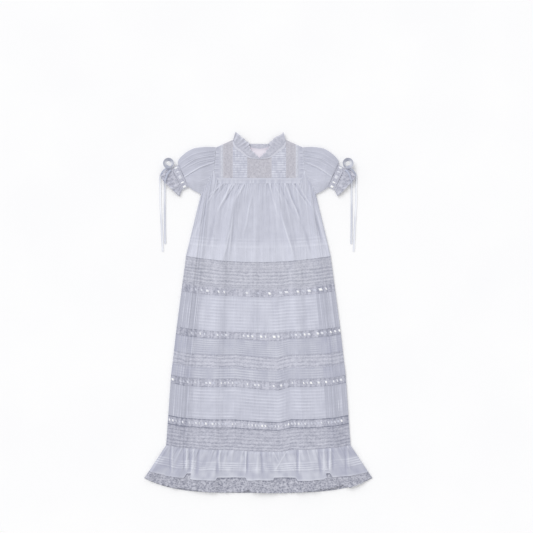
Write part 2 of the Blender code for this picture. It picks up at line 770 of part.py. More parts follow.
def sleeves(gown):
    for side, word in ((-1, "left"), (1, "right")):
        flattened_tube(
            gown, f"sleeve_{word}", side, (ARMHOLE, SLEEVE_CUFF, SLEEVE_UPPER, SLEEVE_LOWER),
            sleeve_height, even(2 * SLEEVE_FOLDS, 0.0, 1.0), (0.0, 0.12, 0.3, 0.5, 0.7, 0.88, 1.0),
            (0.0, 0.3, 0.6, 0.85, 1.0), "batiste",
        )
        cuff = tuple(blend(p, q, GAP / CUFF_WIDE) for p, q in zip(SLEEVE_CUFF, CUFF_END))
        upper = (cuff[0], CUFF_END[0])
        lower = (cuff[1], CUFF_END[1])
        outlines = (cuff, CUFF_END, upper, lower)
        columns = even(8, 0.0, 1.0)
        ribbon_rows = (0.5 - RIBBON_HALF / CUFF_WIDE, 0.5 + RIBBON_HALF / CUFF_WIDE)
        flattened_tube(
            gown, f"cuff_beading_{word}", side, outlines, cuff_height, columns,
            (0.0, *ribbon_rows, 1.0), (0.0, 1.0), "beading",
        )
        grids = []
        for lift in (GAP + RIBBON, GAP):
            grids.append([
                [(*patch(*outlines, u, t), cuff_height(u, t) + lift) for u in columns[1:-1]]
                for t in ribbon_rows
            ])
        grids = [[[(side * x, y, z) for x, y, z in row] for row in grid] for grid in grids]
        cuff_ribbon(gown, f"cuff_ribbon_{word}", grids)
        flattened_tube(
            gown, f"cuff_lace_{word}", side,
            (CUFF_LACE_START, CUFF_LACE_EDGE, CUFF_LACE_UPPER, CUFF_LACE_LOWER),
            cuff_lace_height, even(12, 0.0, 1.0), (0.0, 0.5, 1.0), (0.0, 1.0), "lace",
        )


def cuff_ribbon(gown, name, grids):
    """The strip's columns run down the cuff, so they are turned to rows for the cloth wall."""
    turned = [[list(column) for column in zip(*grid)] for grid in grids]
    cloth(gown, name, *turned, "satin")


def bow_loop(gown, name, side):
    """A loop of ribbon on its edge, leaning out, thickest where the knot ties it to the cuff."""
    stations = 20
    points = []
    for i in range(stations):
        angle = 2 * math.pi * i / stations
        knot = bump((angle - BOW_KNOT + math.pi) % (2 * math.pi) - math.pi, BOW_KNOT_SPAN)
        half_wall = BOW_HALF_WALL + BOW_KNOT_THICK * knot
        half_width = BOW_RIBBON / 2 * (1 - BOW_KNOT_SQUEEZE * knot)
        for across, up in ((-1, -1), (1, -1), (1, 1), (-1, 1)):
            middle = BOW_RADIUS + BOW_KNOT_REACH * knot + BOW_LEAN * up * (1 - knot)
            radius = middle + across * half_wall
            x = BOW_CENTRE[0] - radius * math.cos(angle)
            y = BOW_CENTRE[1] + radius * math.sin(angle)
            points.append(laid((side * x, y, mix(BOW_LIFT[1], BOW_LIFT[0], knot) + up * half_width)))
    faces = []
    for i in range(stations):
        j = (i + 1) % stations
        for c in range(4):
            d = (c + 1) % 4
            face = (4 * i + c, 4 * j + c, 4 * j + d, 4 * i + d)
            faces.append(face if side < 0 else face[::-1])
    add_mesh(gown, name, points, faces, "satin")


def bow_tail(gown, name, side, route):
    """A narrow ribbon end that falls from the knot over the cuff lace and lies on the surface."""
    stops = [through(route, i / TAIL_STATIONS) for i in range(TAIL_STATIONS + 1)]
    rows = []
    for i, (x, y, z) in enumerate(stops):
        before = stops[max(i - 1, 0)]
        after = stops[min(i + 1, TAIL_STATIONS)]
        along = (after[0] - before[0], after[1] - before[1])
        length = math.hypot(*along)
        across = (-along[1] / length * TAIL_HALF, along[0] / length * TAIL_HALF)
        rows.append(((x - across[0], y - across[1], z), (x + across[0], y + across[1], z)))
    grids = []
    for lift in (RIBBON / 2, -RIBBON / 2):
        grids.append([[(side * x, y, z + lift) for x, y, z in row] for row in rows])
    cloth(gown, name, *grids, "satin")


def bows(gown):
    for side, word in ((-1, "left"), (1, "right")):
        bow_loop(gown, f"bow_loop_{word}", side)
        bow_tail(gown, f"bow_tail_outer_{word}", side, OUTER_TAIL)
        bow_tail(gown, f"bow_tail_inner_{word}", side, INNER_TAIL)


def main():
    clear_scene()
    gown = make_collection()
    back_yoke(gown)
    front_yoke(gown)
    neck_ruffles(gown)
    upper_skirt(gown)
    skirt_bands(gown)
    ruffle(gown)
    hem_lace(gown)
    sleeves(gown)
    bows(gown)


main()
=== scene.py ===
"""Visual model of a christening gown of fine cotton, laid out flat and seen from straight above.

The sizes and tables are those of the gown's solids, in millimetres, and the cloth is drawn over
them in finer grids: gathers, creases, pin tucks, beading with its ribbon, and lace edges. Left
and right are the viewer's.
"""

import bpy
import numpy as np
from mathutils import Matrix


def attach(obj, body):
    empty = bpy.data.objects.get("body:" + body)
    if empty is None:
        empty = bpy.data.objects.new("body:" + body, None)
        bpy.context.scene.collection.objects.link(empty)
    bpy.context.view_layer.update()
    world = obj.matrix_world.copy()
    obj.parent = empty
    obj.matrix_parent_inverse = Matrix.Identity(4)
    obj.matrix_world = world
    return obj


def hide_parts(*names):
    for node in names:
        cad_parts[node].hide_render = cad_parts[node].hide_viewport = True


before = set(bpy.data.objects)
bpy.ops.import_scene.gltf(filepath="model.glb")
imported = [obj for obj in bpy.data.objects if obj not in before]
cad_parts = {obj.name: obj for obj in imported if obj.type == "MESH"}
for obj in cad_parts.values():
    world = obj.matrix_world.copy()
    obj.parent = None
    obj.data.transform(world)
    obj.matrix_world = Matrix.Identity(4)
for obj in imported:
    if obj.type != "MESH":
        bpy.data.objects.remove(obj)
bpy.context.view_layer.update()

MM = 0.001

# Cloth
WALL = 1.2
GAP = 0.06  # the drawn pieces all but touch at their seams
FRONT = WALL + 0.3  # height of the front's inner face over the surface
FACE = FRONT + WALL  # height of its outer face
CLOTH = 0.7  # thickness of the drawn batiste
LACE = 0.5  # thickness of the drawn lace
RIBBON = 0.35  # thickness of the threaded ribbon
LOWEST = WALL + CLOTH + 0.05  # outer face of the front's cloth where it touches the back's
RIM_ANGLE = 1.2  # radians: a cut edge is sharper than any fold
STITCH = 1.3  # usual distance between the points of a grid
SIDES = ((-1, "left"), (1, "right"))

# Yoke, as distances from the middle
YOKE_SEAM = 297.6
YOKE_PANELS = 310.2
CENTRE_LACE = 28.0
TUCKED_TO = 61.2
LACE_STRIP_TO = 83.5
ENTREDEUX_TO = 89.2
YOKE_CORNER = 95.0
YOKE_DRIFT = 2.6
DRIFT_RISE = (262.0, 40.0)  # it grows from this height, over this length
DRIFT_FADE = (104.0, 70.0)  # and fades from this far to the side, over this length
YOKE_TUCKS = 13
YOKE_TUCKS_TOP = 383.0
YOKE_TUCKS_MARGIN = 2.0
SHOULDER = ((62.1, 397.6), (99.6, 380.6))
SHOULDER_TO = 99.6
SKIRT_POINT = (104.6, 328.0)
UNDERARM = (131.8, 273.5)
ARMHOLE = (SHOULDER[1], SKIRT_POINT, (112.5, 312.0), (121.0, 294.0), UNDERARM)
YOKE_SIDE = ((297.6, 95.0), (328.0, 104.6), (380.6, 99.6))
NECK_SEAM = ((61.6, 393.0), (58.2, 381.5), (42.1, 370.0), (26.0, 358.5), (0.0, 354.0))
NECK_EDGE = ((55.0, 416.0), (37.0, 404.5), (22.5, 392.0), (19.5, 381.0), (9.0, 367.0), (0.5, 357.5))
BACK_NECK = ((0.0, 377.5), (16.8, 380.0), (36.0, 390.0), (62.1, 397.6))
BACK_NECK_EDGE = 388.6
BACK_RUFFLE_HALF = 46.0  # half its width
BACK_RUFFLE_RISE = 14.0  # how much higher its edge lies at its ends
BINDING = 2.4
NECK_WAVES = 9  # in each half of the front ruffle

# Skirt: middle height, half width, how far the side lies above the middle, sharpness of that rise
SKIRT_SHAPE = (
    (117.0, 166.0, 14.0, 2.0),
    (-45.2, 187.3, 14.0, 2.0),
    (-156.0, 200.3, 14.0, 2.0),
    (-317.7, 211.7, 14.0, 2.2),
    (-382.0, 253.0, 15.8, 4.0),
    (-413.2, 262.0, 33.5, 4.0),
)
# Share of the half width, distance from the middle and height along the skirt's upper edge
SKIRT_TOP = (
    (0.0, 0.0, YOKE_SEAM),
    (0.60, YOKE_CORNER, YOKE_SEAM),
    (0.68, *SKIRT_POINT),
    (0.78, 112.5, 312.0),
    (0.88, 121.0, 294.0),
    (1.0, *UNDERARM),
)

# Bands of the skirt, from the top down: name, kind, depth, tucks
BANDS = (
    ("lace_band_upper", "lace", 63.0, 0),
    ("beading_1", "beading", 17.4, 0),
    ("tucked_panel_upper", "tucks", 81.8, 10),
    ("beading_2", "beading", 17.2, 0),
    ("fine_tucks", "tucks", 38.0, 7),
    ("lace_insertion", "lace", 29.8, 0),
    ("narrow_tucks", "tucks", 25.8, 4),
    ("beading_3", "beading", 18.4, 0),
    ("tucked_panel_lower", "tucks", 73.6, 9),
    ("beading_4", "beading", 20.6, 0),
    ("lace_band_lower", "lace", 49.1, 0),
)
SKIRT_START = 117.0
HEM_LACE_TOP = -382.0
HEM = -413.2
MIDDLE = (NECK_EDGE[0][1] + HEM) / 2
UPPER_TUCKS = (166.2, 158.9, 149.0)
UPPER_TUCK_RISE = 8.0
TUCK_STEP = 1.2  # a tuck's edge falls over this length
SIDE_FROM = 0.7  # the sides are pleated from this share of the half width
# the outline of the tucked bands is painted darker from this share of the half width
OUTLINE_FROM = 0.987
RIBBON_HALF = 3.9
RIBBON_DIP = 0.9  # how deep the ribbon lies in a slot
RIBBON_RISE = 2.4  # and how far it stands out between two
# Each beading: distance between the ribbon's slots, share of them that hide it, and how light
# the two sewn edges are
BEADINGS = {
    "beading_1": (13.0, 0.40, 0.1),
    "beading_2": (10.0, 0.35, -0.15),
    "beading_3": (8.6, 0.30, -0.15),
    "beading_4": (7.6, 0.1, -0.8),
}
# Shade of the tucks: how light their cloth is where it lies double, and the tone between them
PANEL_SHADE = {"tucked_panel_upper": (0.29, 0.06), "tucked_panel_lower": (0.38, -0.06)}
FINE_SHADE = (0.5, -0.1)

# Folds of the front: place at the yoke seam and at the first band as a share of the half
# width, half breadth in the same share, height
FOLDS = (
    (-0.86, -0.86, 0.060, 3.4),
    (-0.30, -0.50, 0.130, 4.2),
    (0.04, -0.06, 0.070, 1.6),
    (0.25, 0.51, 0.120, 4.4),
    (0.84, 0.86, 0.060, 3.4),
)
SIDE_PLEATS = (0.80, 0.92)
SIDE_PLEAT = 1.6
FOLD_FADE = (117.0, -320.0, 0.45)

# Creases: x and y where each starts and ends, half breadth, height (a hollow is negative)
CREASES = (
    (-46.7, 299.0, -83.5, 117.3, 9.0, 1.6),
    (38.4, 282.9, 84.4, 117.3, 9.0, 1.6),
    (-101.9, 282.9, -120.3, 117.3, 14.0, -1.8),
    (-134.1, 269.1, -161.7, 126.5, 12.0, -1.4),
    (95.9, 259.9, 121.2, 117.3, 14.0, -1.8),
    (137.3, 259.9, 158.0, 126.5, 11.0, -1.4),
    (-138.7, 40.0, -140.0, -60.0, 8.0, -0.8),
    (-12.2, 40.0, -14.0, -60.0, 10.0, -0.7),
    (107.4, 40.0, 110.0, -60.0, 10.0, -0.8),
)
# The gathers spread as they fall: a share of the half width at the first band, and at the seam
FOLD_FAN = ((0.0, 0.0), (0.50, 0.30), (0.725, 0.63), (1.0, 1.0))
CREASE_END = 26.0  # a crease fades in and out over this length
# Thin lines pressed into the upper skirt: x and y of both ends, half breadth, height
PRESSED = (
    (-33.0, 300.0, -54.0, 256.0, 3.8, 1.5),
    (-41.0, 300.0, -60.0, 262.0, 3.2, -1.0),
    (-55.0, 300.0, -82.0, 250.0, 3.6, 1.3),
    (-62.0, 300.0, -97.0, 223.0, 4.2, 2.0),
    (-56.0, 296.0, -86.0, 232.0, 3.6, -1.4),
    (-80.0, 300.0, -121.0, 262.0, 3.2, 1.3),
    (-74.0, 300.0, -110.0, 250.0, 3.4, -1.0),
    (-88.0, 300.0, -126.0, 240.0, 3.4, 1.1),
    (-112.0, 262.0, -141.0, 180.0, 4.8, -1.4),
    (-108.0, 268.0, -153.2, 160.0, 4.6, 1.3),
    (-12.0, 285.0, -35.9, 165.0, 3.8, 1.2),
    (-96.0, 240.0, -120.5, 128.0, 5.6, -1.5),
    (-56.0, 240.0, -69.0, 118.5, 3.8, 1.5),
    (-60.0, 205.0, -81.0, 118.5, 3.8, 1.3),
    (18.0, 300.0, 40.7, 245.0, 3.4, -1.0),
    (24.0, 300.0, 50.0, 205.0, 3.6, 1.5),
    (33.0, 300.0, 60.0, 250.0, 3.2, 1.0),
    (50.0, 235.0, 84.0, 118.5, 4.4, 1.8),
    (58.0, 300.0, 106.0, 196.0, 4.0, 1.9),
    (65.0, 300.0, 110.0, 190.0, 4.0, -1.6),
    (45.0, 300.0, 88.0, 214.0, 3.4, -1.1),
    (94.0, 226.0, 127.0, 124.0, 4.8, -1.7),
    (74.0, 300.0, 122.0, 236.0, 3.6, 1.4),
    (80.0, 300.0, 128.0, 232.0, 3.4, -1.0),
    (88.0, 300.0, 136.0, 222.0, 3.6, 1.3),
    (126.0, 262.0, 164.0, 130.0, 4.8, 1.3),
    (128.0, 236.0, 156.0, 128.0, 4.2, -1.5),
)
# How clearly the upper tucks show, by share of the half width
TUCKS_SHOWN = (
    (-1.0, 0.5), (-0.78, 1.0), (-0.62, 0.9), (-0.52, 0.2), (-0.36, 0.2), (-0.28, 0.6), (-0.02, 0.6),
    (0.05, 0.25), (0.35, 0.2), (0.5, 0.7), (0.8, 1.0), (1.0, 0.5),
)
# The seams of the hanging cloth sag and start again at its folds: share of the half width, sag
SAG = (
    (-1.0, 0.0), (-0.85, 2.0), (-0.65, 1.0), (-0.26, -3.8), (0.0, 0.6), (0.23, 4.0), (0.37, -3.2),
    (0.65, 1.0), (0.85, 2.0), (1.0, 0.0),
)
SAG_SHARE = (
    (SKIRT_START, 0.0), (36.0, 0.3), (-45.0, 0.2), (-62.0, 0.6), (-100.0, 1.0), (-174.0, 1.0),
    (-248.0, 0.8), (-317.7, 0.5), (-382.0, 0.0),
)

# Ruffle: place of each fold edge as a share of the half width, and height of the cloth past it
RUFFLE_LEVELS = (
    (-0.965, 3.6),
    (-0.88, 1.4),
    (-0.77, 4.6),
    (-0.69, 1.6),
    (-0.61, 5.4),
    (-0.365, 2.2),
    (-0.10, 5.8),
    (0.13, 2.4),
    (0.35, 5.4),
    (0.545, 1.8),
    (0.62, 4.4),
    (0.70, 1.4),
    (0.78, 4.8),
    (0.90, 1.2),
)
RUFFLE_EDGE = 0.012  # breadth of the step in the foot at a fold
RUFFLE_SOFT = 0.05  # half breadth of the swell between two folds
RUFFLE_DEPTH = 64.3
RUFFLE_TUCKS = 4
RUFFLE_TUCK_START = 3.0  # how far the first tuck lies above the ruffle's middle
RUFFLE_TUCK_APART = 4.8
# Thin folds of the ruffle, which hang straight down: as for the upper skirt
RUFFLE_LINES = (
    (-201.7, -320.3, -203.1, -376.3, 3.0, -1.3),
    (-196.8, -323.1, -198.5, -374.9, 3.4, 0.9),
    (-170.9, -323.1, -171.5, -369.1, 3.0, -1.4),
    (-163.4, -323.1, -162.8, -367.7, 4.0, 2.0),
    (-157.1, -323.1, -156.5, -370.6, 3.0, -1.4),
    (-149.0, -323.1, -151.3, -379.2, 5.0, 1.3),
    (-137.5, -326.0, -143.3, -381.2, 6.0, -1.5),
    (-94.4, -337.5, -96.1, -377.8, 5.0, -1.3),
    (-88.1, -323.1, -89.2, -376.3, 3.5, 1.0),
    (-28.9, -320.3, -29.2, -377.8, 3.2, 1.3),
    (-24.3, -320.3, -25.4, -381.2, 3.6, -2.0),
    (-0.4, -328.9, -1.8, -376.3, 5.0, 1.0),
    (7.4, -327.5, 11.1, -374.9, 4.6, -1.4),
    (39.8, -328.9, 49.3, -346.1, 3.4, 0.9),
    (49.9, -343.3, 35.5, -366.3, 3.4, 0.9),
    (89.6, -323.1, 90.7, -379.2, 5.0, -1.5),
    (94.8, -323.1, 95.9, -377.8, 3.6, 1.2),
    (139.6, -328.9, 143.6, -381.2, 5.0, -1.5),
    (150.5, -323.1, 152.8, -379.2, 5.0, 1.3),
    (159.2, -323.1, 160.9, -369.1, 3.0, -1.4),
    (165.2, -323.1, 165.8, -366.3, 4.0, 2.0),
    (171.2, -323.1, 173.0, -370.6, 3.0, -1.3),
    (199.4, -320.3, 202.9, -377.8, 3.2, -1.5),
    (206.3, -323.1, 209.8, -374.9, 3.4, 0.9),
)
# Lower edges of the ruffle's folds and of its lace: share of the half width, extra depth
RUFFLE_FEET = (
    (-1.0, -3.0),
    (-0.85, -1.0),
    (-0.672, -11.5),
    (-0.623, 2.0),
    (-0.382, -4.7),
    (-0.11, 1.5),
    (0.14, -4.7),
    (0.35, 2.5),
    (0.60, 0.0),
    (0.629, -11.7),
    (0.675, -1.5),
)
HEM_EDGE = (
    (-1.0, -1.5), (-0.75, -2.5), (-0.6, -4.0), (-0.42, -0.5), (-0.17, -1.5), (-0.105, -4.5), (-0.09, -9.5),
    (-0.075, -4.5), (-0.03, -1.5), (0.23, 0.5), (0.5, -3.5), (0.74, -7.0), (0.8, 1.0), (1.0, -1.5),
)
SCALLOPS = 42
SCALLOP = 1.8

# Sleeve, in distances from the middle: armhole, cuff line, upper and lower outline
SLEEVE_HEAD_GAP = 0.2
SLEEVE_UPPER = (
    (99.8, 380.6), (120.0, 381.4), (143.1, 379.2), (156.0, 374.8), (168.5, 366.8), (179.5, 356.5),
    (184.4, 348.0), (183.4, 340.2),
)
SLEEVE_LOWER = ((132.0, 273.5), (142.1, 278.4), (152.5, 283.8), (160.6, 290.3))
SLEEVE_CUFF = ((183.4, 340.2), (160.6, 290.3))
CUFF_END = ((197.8, 333.3), (175.0, 283.4))
CUFF_WIDE = 16.0
CUFF_LONG = 55.0
CUFF_LACE_START = ((198.1, 333.2), (175.3, 283.3))
CUFF_LACE_EDGE = ((209.0, 330.5), (222.5, 312.0), (203.5, 289.0), (181.9, 268.4))
CUFF_LACE_UPPER = ((198.1, 333.2), (209.0, 330.5))
CUFF_LACE_LOWER = ((175.3, 283.3), (181.9, 268.4))
SLEEVE_SIDE = 4.2
SLEEVE_CROWN = ((0.0, 4.0), (0.25, 10.0), (0.55, 13.5), (0.85, 9.0), (1.0, 4.5))
PUFF_SHARE = 0.4  # the cloth sinks below the solid's crown
# Folds of the sleeve, which start from a short length of the armhole: where each lies there and
# where it dies away, both as shares from the upper to the lower side, its reach towards the
# cuff, half breadth, height
SLEEVE_FOLDS = (
    (0.03, 0.04, 0.45, 0.014, 0.7),
    (0.055, 0.10, 0.90, 0.017, 1.1),
    (0.085, 0.16, 0.40, 0.014, -0.5),
    (0.115, 0.21, 0.75, 0.016, 1.0),
    (0.145, 0.27, 1.00, 0.018, 1.2),
    (0.17, 0.31, 0.50, 0.014, -0.6),
    (0.20, 0.37, 0.80, 0.016, 1.2),
    (0.23, 0.43, 0.55, 0.015, 0.8),
    (0.255, 0.48, 0.35, 0.014, -0.6),
    (0.295, 0.56, 1.10, 0.020, 1.8),
    (0.32, 0.60, 0.90, 0.018, -0.7),
    (0.45, 0.75, 0.30, 0.020, 0.5),
    (0.62, 0.86, 0.40, 0.020, 0.6),
    (0.78, 0.92, 0.35, 0.018, -0.5),
)
FOLD_SAG = 0.26  # how far the folds sink towards the lower side on their way to the cuff
HEAD_SIDE = 3.6

# Bow: loop centre, its radius, and the tails' routes as distance from the middle, height, lift
BOW_CENTRE = (205.8, 343.8)
BOW_RADIUS = 8.6
BOW_KNOT = -0.95
BOW_KNOT_REACH = 1.2
BOW_LIFT = (6.1, 8.6)
BOW_RIBBON = 4.2
LOOP_LEAN = 3.5  # the ring of ribbon opens outwards, so its inner face shows
TAIL_WIDE = 4.0
TAIL_LYING = 0.7  # height of a tail that lies on the surface
TAIL_CLEAR = {"outer": 0.32, "inner": 0.43}  # share of a tail that lies in the shade of the cuff
# how light each tail is painted: the inner one darker
TAIL_TONE = {"outer": 0.92, "inner": 0.68}
TAIL_THICK = 0.5
TAIL_STOPS = 61
# painted shade of a tail where it lies in the shade of the cuff
SHADED = 0.25
OUTER_TAIL = (
    (203.6, 331.0, 7.4),
    (211.0, 331.2, 7.8),
    (218.8, 325.0, 6.2),
    (224.8, 314.0, 2.2),
    (225.8, 301.0, 0.9),
    (225.0, 281.0, 0.8),
    (225.2, 262.0, 0.8),
    (224.0, 232.0, 0.8),
    (222.4, 205.0, 0.8),
    (221.0, 172.0, 0.8),
    (219.4, 141.4, 0.8),
)
INNER_TAIL = (
    (200.4, 328.6, 8.0),
    (207.5, 320.0, 9.8),
    (211.5, 310.0, 10.4),
    (213.8, 300.5, 10.2),
    (214.6, 288.0, 1.6),
    (214.8, 270.0, 0.8),
    (214.9, 240.0, 0.8),
    (214.6, 200.0, 0.8),
    (214.0, 158.9, 0.8),
)
TAILS = (("outer", OUTER_TAIL, 204.0), ("inner", INNER_TAIL, 177.0))  # with their lengths

# Picture
TABLE_SEEN = 1.226  # metres of table that the square picture spans
EYE = (0.01886, 0.1056, 2.5)
ROOM_LIGHT = 0.72
LAMP_LIGHT = 1.3
LAMP_SPREAD = 0.7
LAMP_FROM = (-1.3, 1.7, 2.0)
BOARD_HALF = 6.0  # metres from the middle of the painted board to its sides
BOARD_UNDER = 0.0005  # metres that it lies under the gown

# Random numbers in a table of folds, of hollows each way and of slots, enough for the whole gown
DRAWS = 1024
CRUMPLE_DRAWS = 256
THREAD_DRAWS = 512
# Narrow folds: folds in one share or millimetre, start, seed, narrowness, mean height
SMALL_FOLDS = {
    "side_pleats": (30, 100, 24, 0.3, 0.0),
    # this row gives only painted light and shade of pleats on the tucked bands
    "band_pleat_painted_light": (42, 100, 24, 0.28, 0.45),
    "skirt_fine": (38, 200, 31, 0.3, 0.4),
    "skirt_medium": (17, 100, 32, 0.22, 0.22),
    "skirt_long": (7, 60, 33, 0.1, 0.0),
    "ruffle_fine": (44, 200, 81, 0.3, 0.35),
    "ruffle_medium": (21, 100, 82, 0.28, 0.3),
    "yoke_side": (1 / 5.4, 50, 93, 0.28, 0.4),
    "sleeve_head": (40, 60, 102, 0.3, 0.35),
    "sleeve_cuff": (25, 90, 103, 0.28, 0.3),
}
# Soft waves: waves in one share or millimetre, start, seed
SWAYS = {
    "skirt": (17, 4, 21),
    "skirt_reach": (12, 90, 35),
    "beading": (60, 300, 90),
    "ruffle": (17, 80, 83),
    "ruffle_foot": (13, 50, 84),
    "hem": (40, 90, 85),
    "ruffle_fan": (9, 30, 86),
    "ruffle_tucks": (9, 20, 89),
    "yoke_band": (1 / 3.4, 80, 95),
    "neck": (30, 0, 96),
    "neck_edge": (16, 30, 97),
    "cuff_lace": (26, 0, 104),
    "tail": (9, 20, 107),
}
# Hollows and swells: how many in one share or millimetre across, start, depth of one, start, seed
RUMPLES = {
    "skirt": (1 / 24, 40, 60.0, 40, 23),
    "skirt_tucks": (16, 40, 20.0, 30, 36),
    "tucks": (9, 50, 22.0, 50, 25),
    "panels": (14, 70, 50.0, 70, 26),
    "lace": (30, 90, 9.0, 60, 27),
    "ruffle": (24, 10, 12.0, 60, 28),
    "ruffle_tucks": (11, 20, 14.0, 30, 88),
    "hem": (60, 70, 0.5, 20, 87),
    "yoke_tucks": (1 / 3.6, 50, 6.0, 0, 91),
    "yoke_lace": (1 / 4, 0, 6.0, 0, 92),
    "centre_lace": (1 / 5, 30, 7.0, 0, 94),
}

# Materials: what is the same all over the cotton, and sizes of the patterns on it
COTTON = {"Sheen Weight": 0.08, "IOR": 1.53, "Specular IOR Level": 0.2}
STREAKS = (330.0, 30.0, 1.0)  # streaks of the gathers, 3 mm apart and 33 mm long
PATCHES = 42.0  # uneven patches, 24 mm wide
WEAVE = 720.0  # threads, one in 1.4 mm
FLOATS = (60.0, 2200.0, 1.0)  # the satin's bright threads, 17 mm long and 0.45 mm apart
LACE_SAGS = 24.0  # the rows of the lace sag once in 42 mm
LACE_SAG = 6.0  # by up to 6 mm
LACE_SHIFTS = 110.0  # and its net shifts once in 9 mm
LACE_SHIFT = 3.0  # by up to 3 mm
# Relief, as its depth in metres and its strength
WEAVE_RELIEF = (0.0006, 0.45)
LACE_RELIEF = (0.0006, 0.35)
SATIN_RELIEF = (0.0002, 0.3)
WEIGHED = {"operation": "MULTIPLY_ADD"}
COLOURS = {"data_type": "RGBA"}


def smooth(share):
    """A soft step from 0 to 1."""
    share = np.clip(share, 0.0, 1.0)
    return share * share * (3 - 2 * share)


def rise_from(value, start, over):
    """A soft step up that begins at start."""
    return smooth((value - start) / over)


def fall_to(value, end, over):
    """A soft step down that ends at end."""
    return smooth((end - value) / over)


def mix(a, b, share):
    """A value or point between two, at a share of the way."""
    return a + (b - a) * share


def bump(distance, half):
    """A round swell, 1 at distance 0 and 0 from half on."""
    near = np.abs(distance) < half
    return np.where(near, 0.5 + 0.5 * np.cos(np.pi * distance / half), 0.0)


def look_up(table, at, column=1):
    """The column's value where the first column, rising or falling, reaches at."""
    rows = table if table[-1][0] > table[0][0] else table[::-1]
    return np.interp(at, [row[0] for row in rows], [row[column] for row in rows])


def through(points, share):
    """Points on the smooth curve through the given ones, share 0 to 1 along them."""
    points = np.asarray(points, float)
    place = np.clip(share, 0.0, 1.0) * (len(points) - 1)
    first = np.minimum(place.astype(int), len(points) - 2)
    part = (place - first)[..., None]
    a, b, c, d = (points[np.clip(first + step, 0, len(points) - 1)] for step in (-1, 0, 1, 2))
    bend = (2 * a - 5 * b + 4 * c - d) * part**2
    turn = (3 * b - a - 3 * c + d) * part**3
    return 0.5 * (2 * b + (c - a) * part + bend + turn)


def grid(columns, rows, start=0):
    """Shares across, from start to 1, and shares down, from 0 to 1."""
    return np.meshgrid(np.linspace(start, 1, columns), np.linspace(0, 1, rows))


def waves(place, seed):
    """Smooth irregular waves, one value a unit, from -1 to 1."""
    table = np.random.default_rng(seed).uniform(-1, 1, DRAWS)
    low = np.floor(place).astype(int)
    return mix(table[low % DRAWS], table[(low + 1) % DRAWS], smooth(place - low))


def ridges(place, seed, narrow):
    """Narrow folds, one a unit, each with its own place and height, from 0 to about 1."""
    dice = np.random.default_rng(seed)
    shift = dice.uniform(0.2, 0.8, DRAWS)
    high = dice.uniform(0.2, 1.0, DRAWS)
    cell = np.floor(place).astype(int)
    total = 0.0
    for step in (-1, 0, 1):
        fold = (cell + step) % DRAWS
        total = total + high[fold] * np.exp(-((place - cell - step - shift[fold]) / narrow) ** 2)
    return total


def crumple(across, down, seed):
    """Smooth irregular hollows and swells in both directions, from -1 to 1."""
    table = np.random.default_rng(seed).uniform(-1, 1, (CRUMPLE_DRAWS, CRUMPLE_DRAWS))
    i = np.floor(across).astype(int)
    j = np.floor(down).astype(int)
    here, beside = i % CRUMPLE_DRAWS, (i + 1) % CRUMPLE_DRAWS
    row, next_row = j % CRUMPLE_DRAWS, (j + 1) % CRUMPLE_DRAWS
    high = mix(table[row, here], table[row, beside], smooth(across - i))
    low = mix(table[next_row, here], table[next_row, beside], smooth(across - i))
    return mix(high, low, smooth(down - j))


def small_folds(name, place):
    """Narrow folds as their row in the table says, about 0 on average."""
    count, start, seed, narrow, mean = SMALL_FOLDS[name]
    return ridges(place * count + start, seed, narrow) - mean


def sway(name, place, more=0):
    """Soft waves as their row in the table says."""
    count, start, seed = SWAYS[name]
    return waves(place * count + start, seed + more)


def rumple(name, across, down):
    """Hollows and swells as their row in the table says."""
    count, start, deep, start_down, seed = RUMPLES[name]
    return crumple(across * count + start, down / deep + start_down, seed)


def linear(hex_colour):
    """An sRGB hex colour as the linear values that a shader takes."""
    channels = [int(hex_colour[i:i + 2], 16) / 255 for i in (1, 3, 5)]
    return (*[c / 12.92 if c <= 0.04045 else ((c + 0.055) / 1.055) ** 2.4 for c in channels], 1.0)


def add(tree, kind, settings, inputs):
    """A node with its settings, and each input set to a value or linked to a socket or node."""
    node = tree.nodes.new("ShaderNode" + kind)
    for name, value in settings.items():
        setattr(node, name, value)
    for key, value in inputs.items():
        if isinstance(value, bpy.types.Node):
            value = value.outputs[0]
        if isinstance(value, bpy.types.NodeSocket):
            tree.links.new(value, node.inputs[key])
        else:
            node.inputs[key].default_value = value
    return node


def new_material(name, finish):
    """A material with what is the same all over it set on the shader's own sockets."""
    material = bpy.data.materials.new(name)
    material.use_nodes = True
    tree = material.node_tree
    shader = tree.nodes["Principled BSDF"]
    for socket, value in finish.items():
        shader.inputs[socket].default_value = value
    return material, tree, shader


def on_cloth(tree):
    """The place on the flat cloth, and how far the cloth lies double there, with the painted
    light and shade on it.
    """
    place = add(tree, "UVMap", {"uv_map": "cloth"}, {}).outputs[0]
    return place, add(tree, "Attribute", {"attribute_name": "double_and_painted_light"}, {}).outputs["Fac"]


def join(tree, shader, colour, height, relief, invert=False):
    """Links the colour, and a relief of the given depth and strength, to the shader."""
    deep, strength = relief
    lift = add(tree, "Bump", {"invert": invert}, {"Height": height, "Distance": deep, "Strength": strength})
    tree.links.new(colour, shader.inputs["Base Color"])
    tree.links.new(lift.outputs[0], shader.inputs["Normal"])


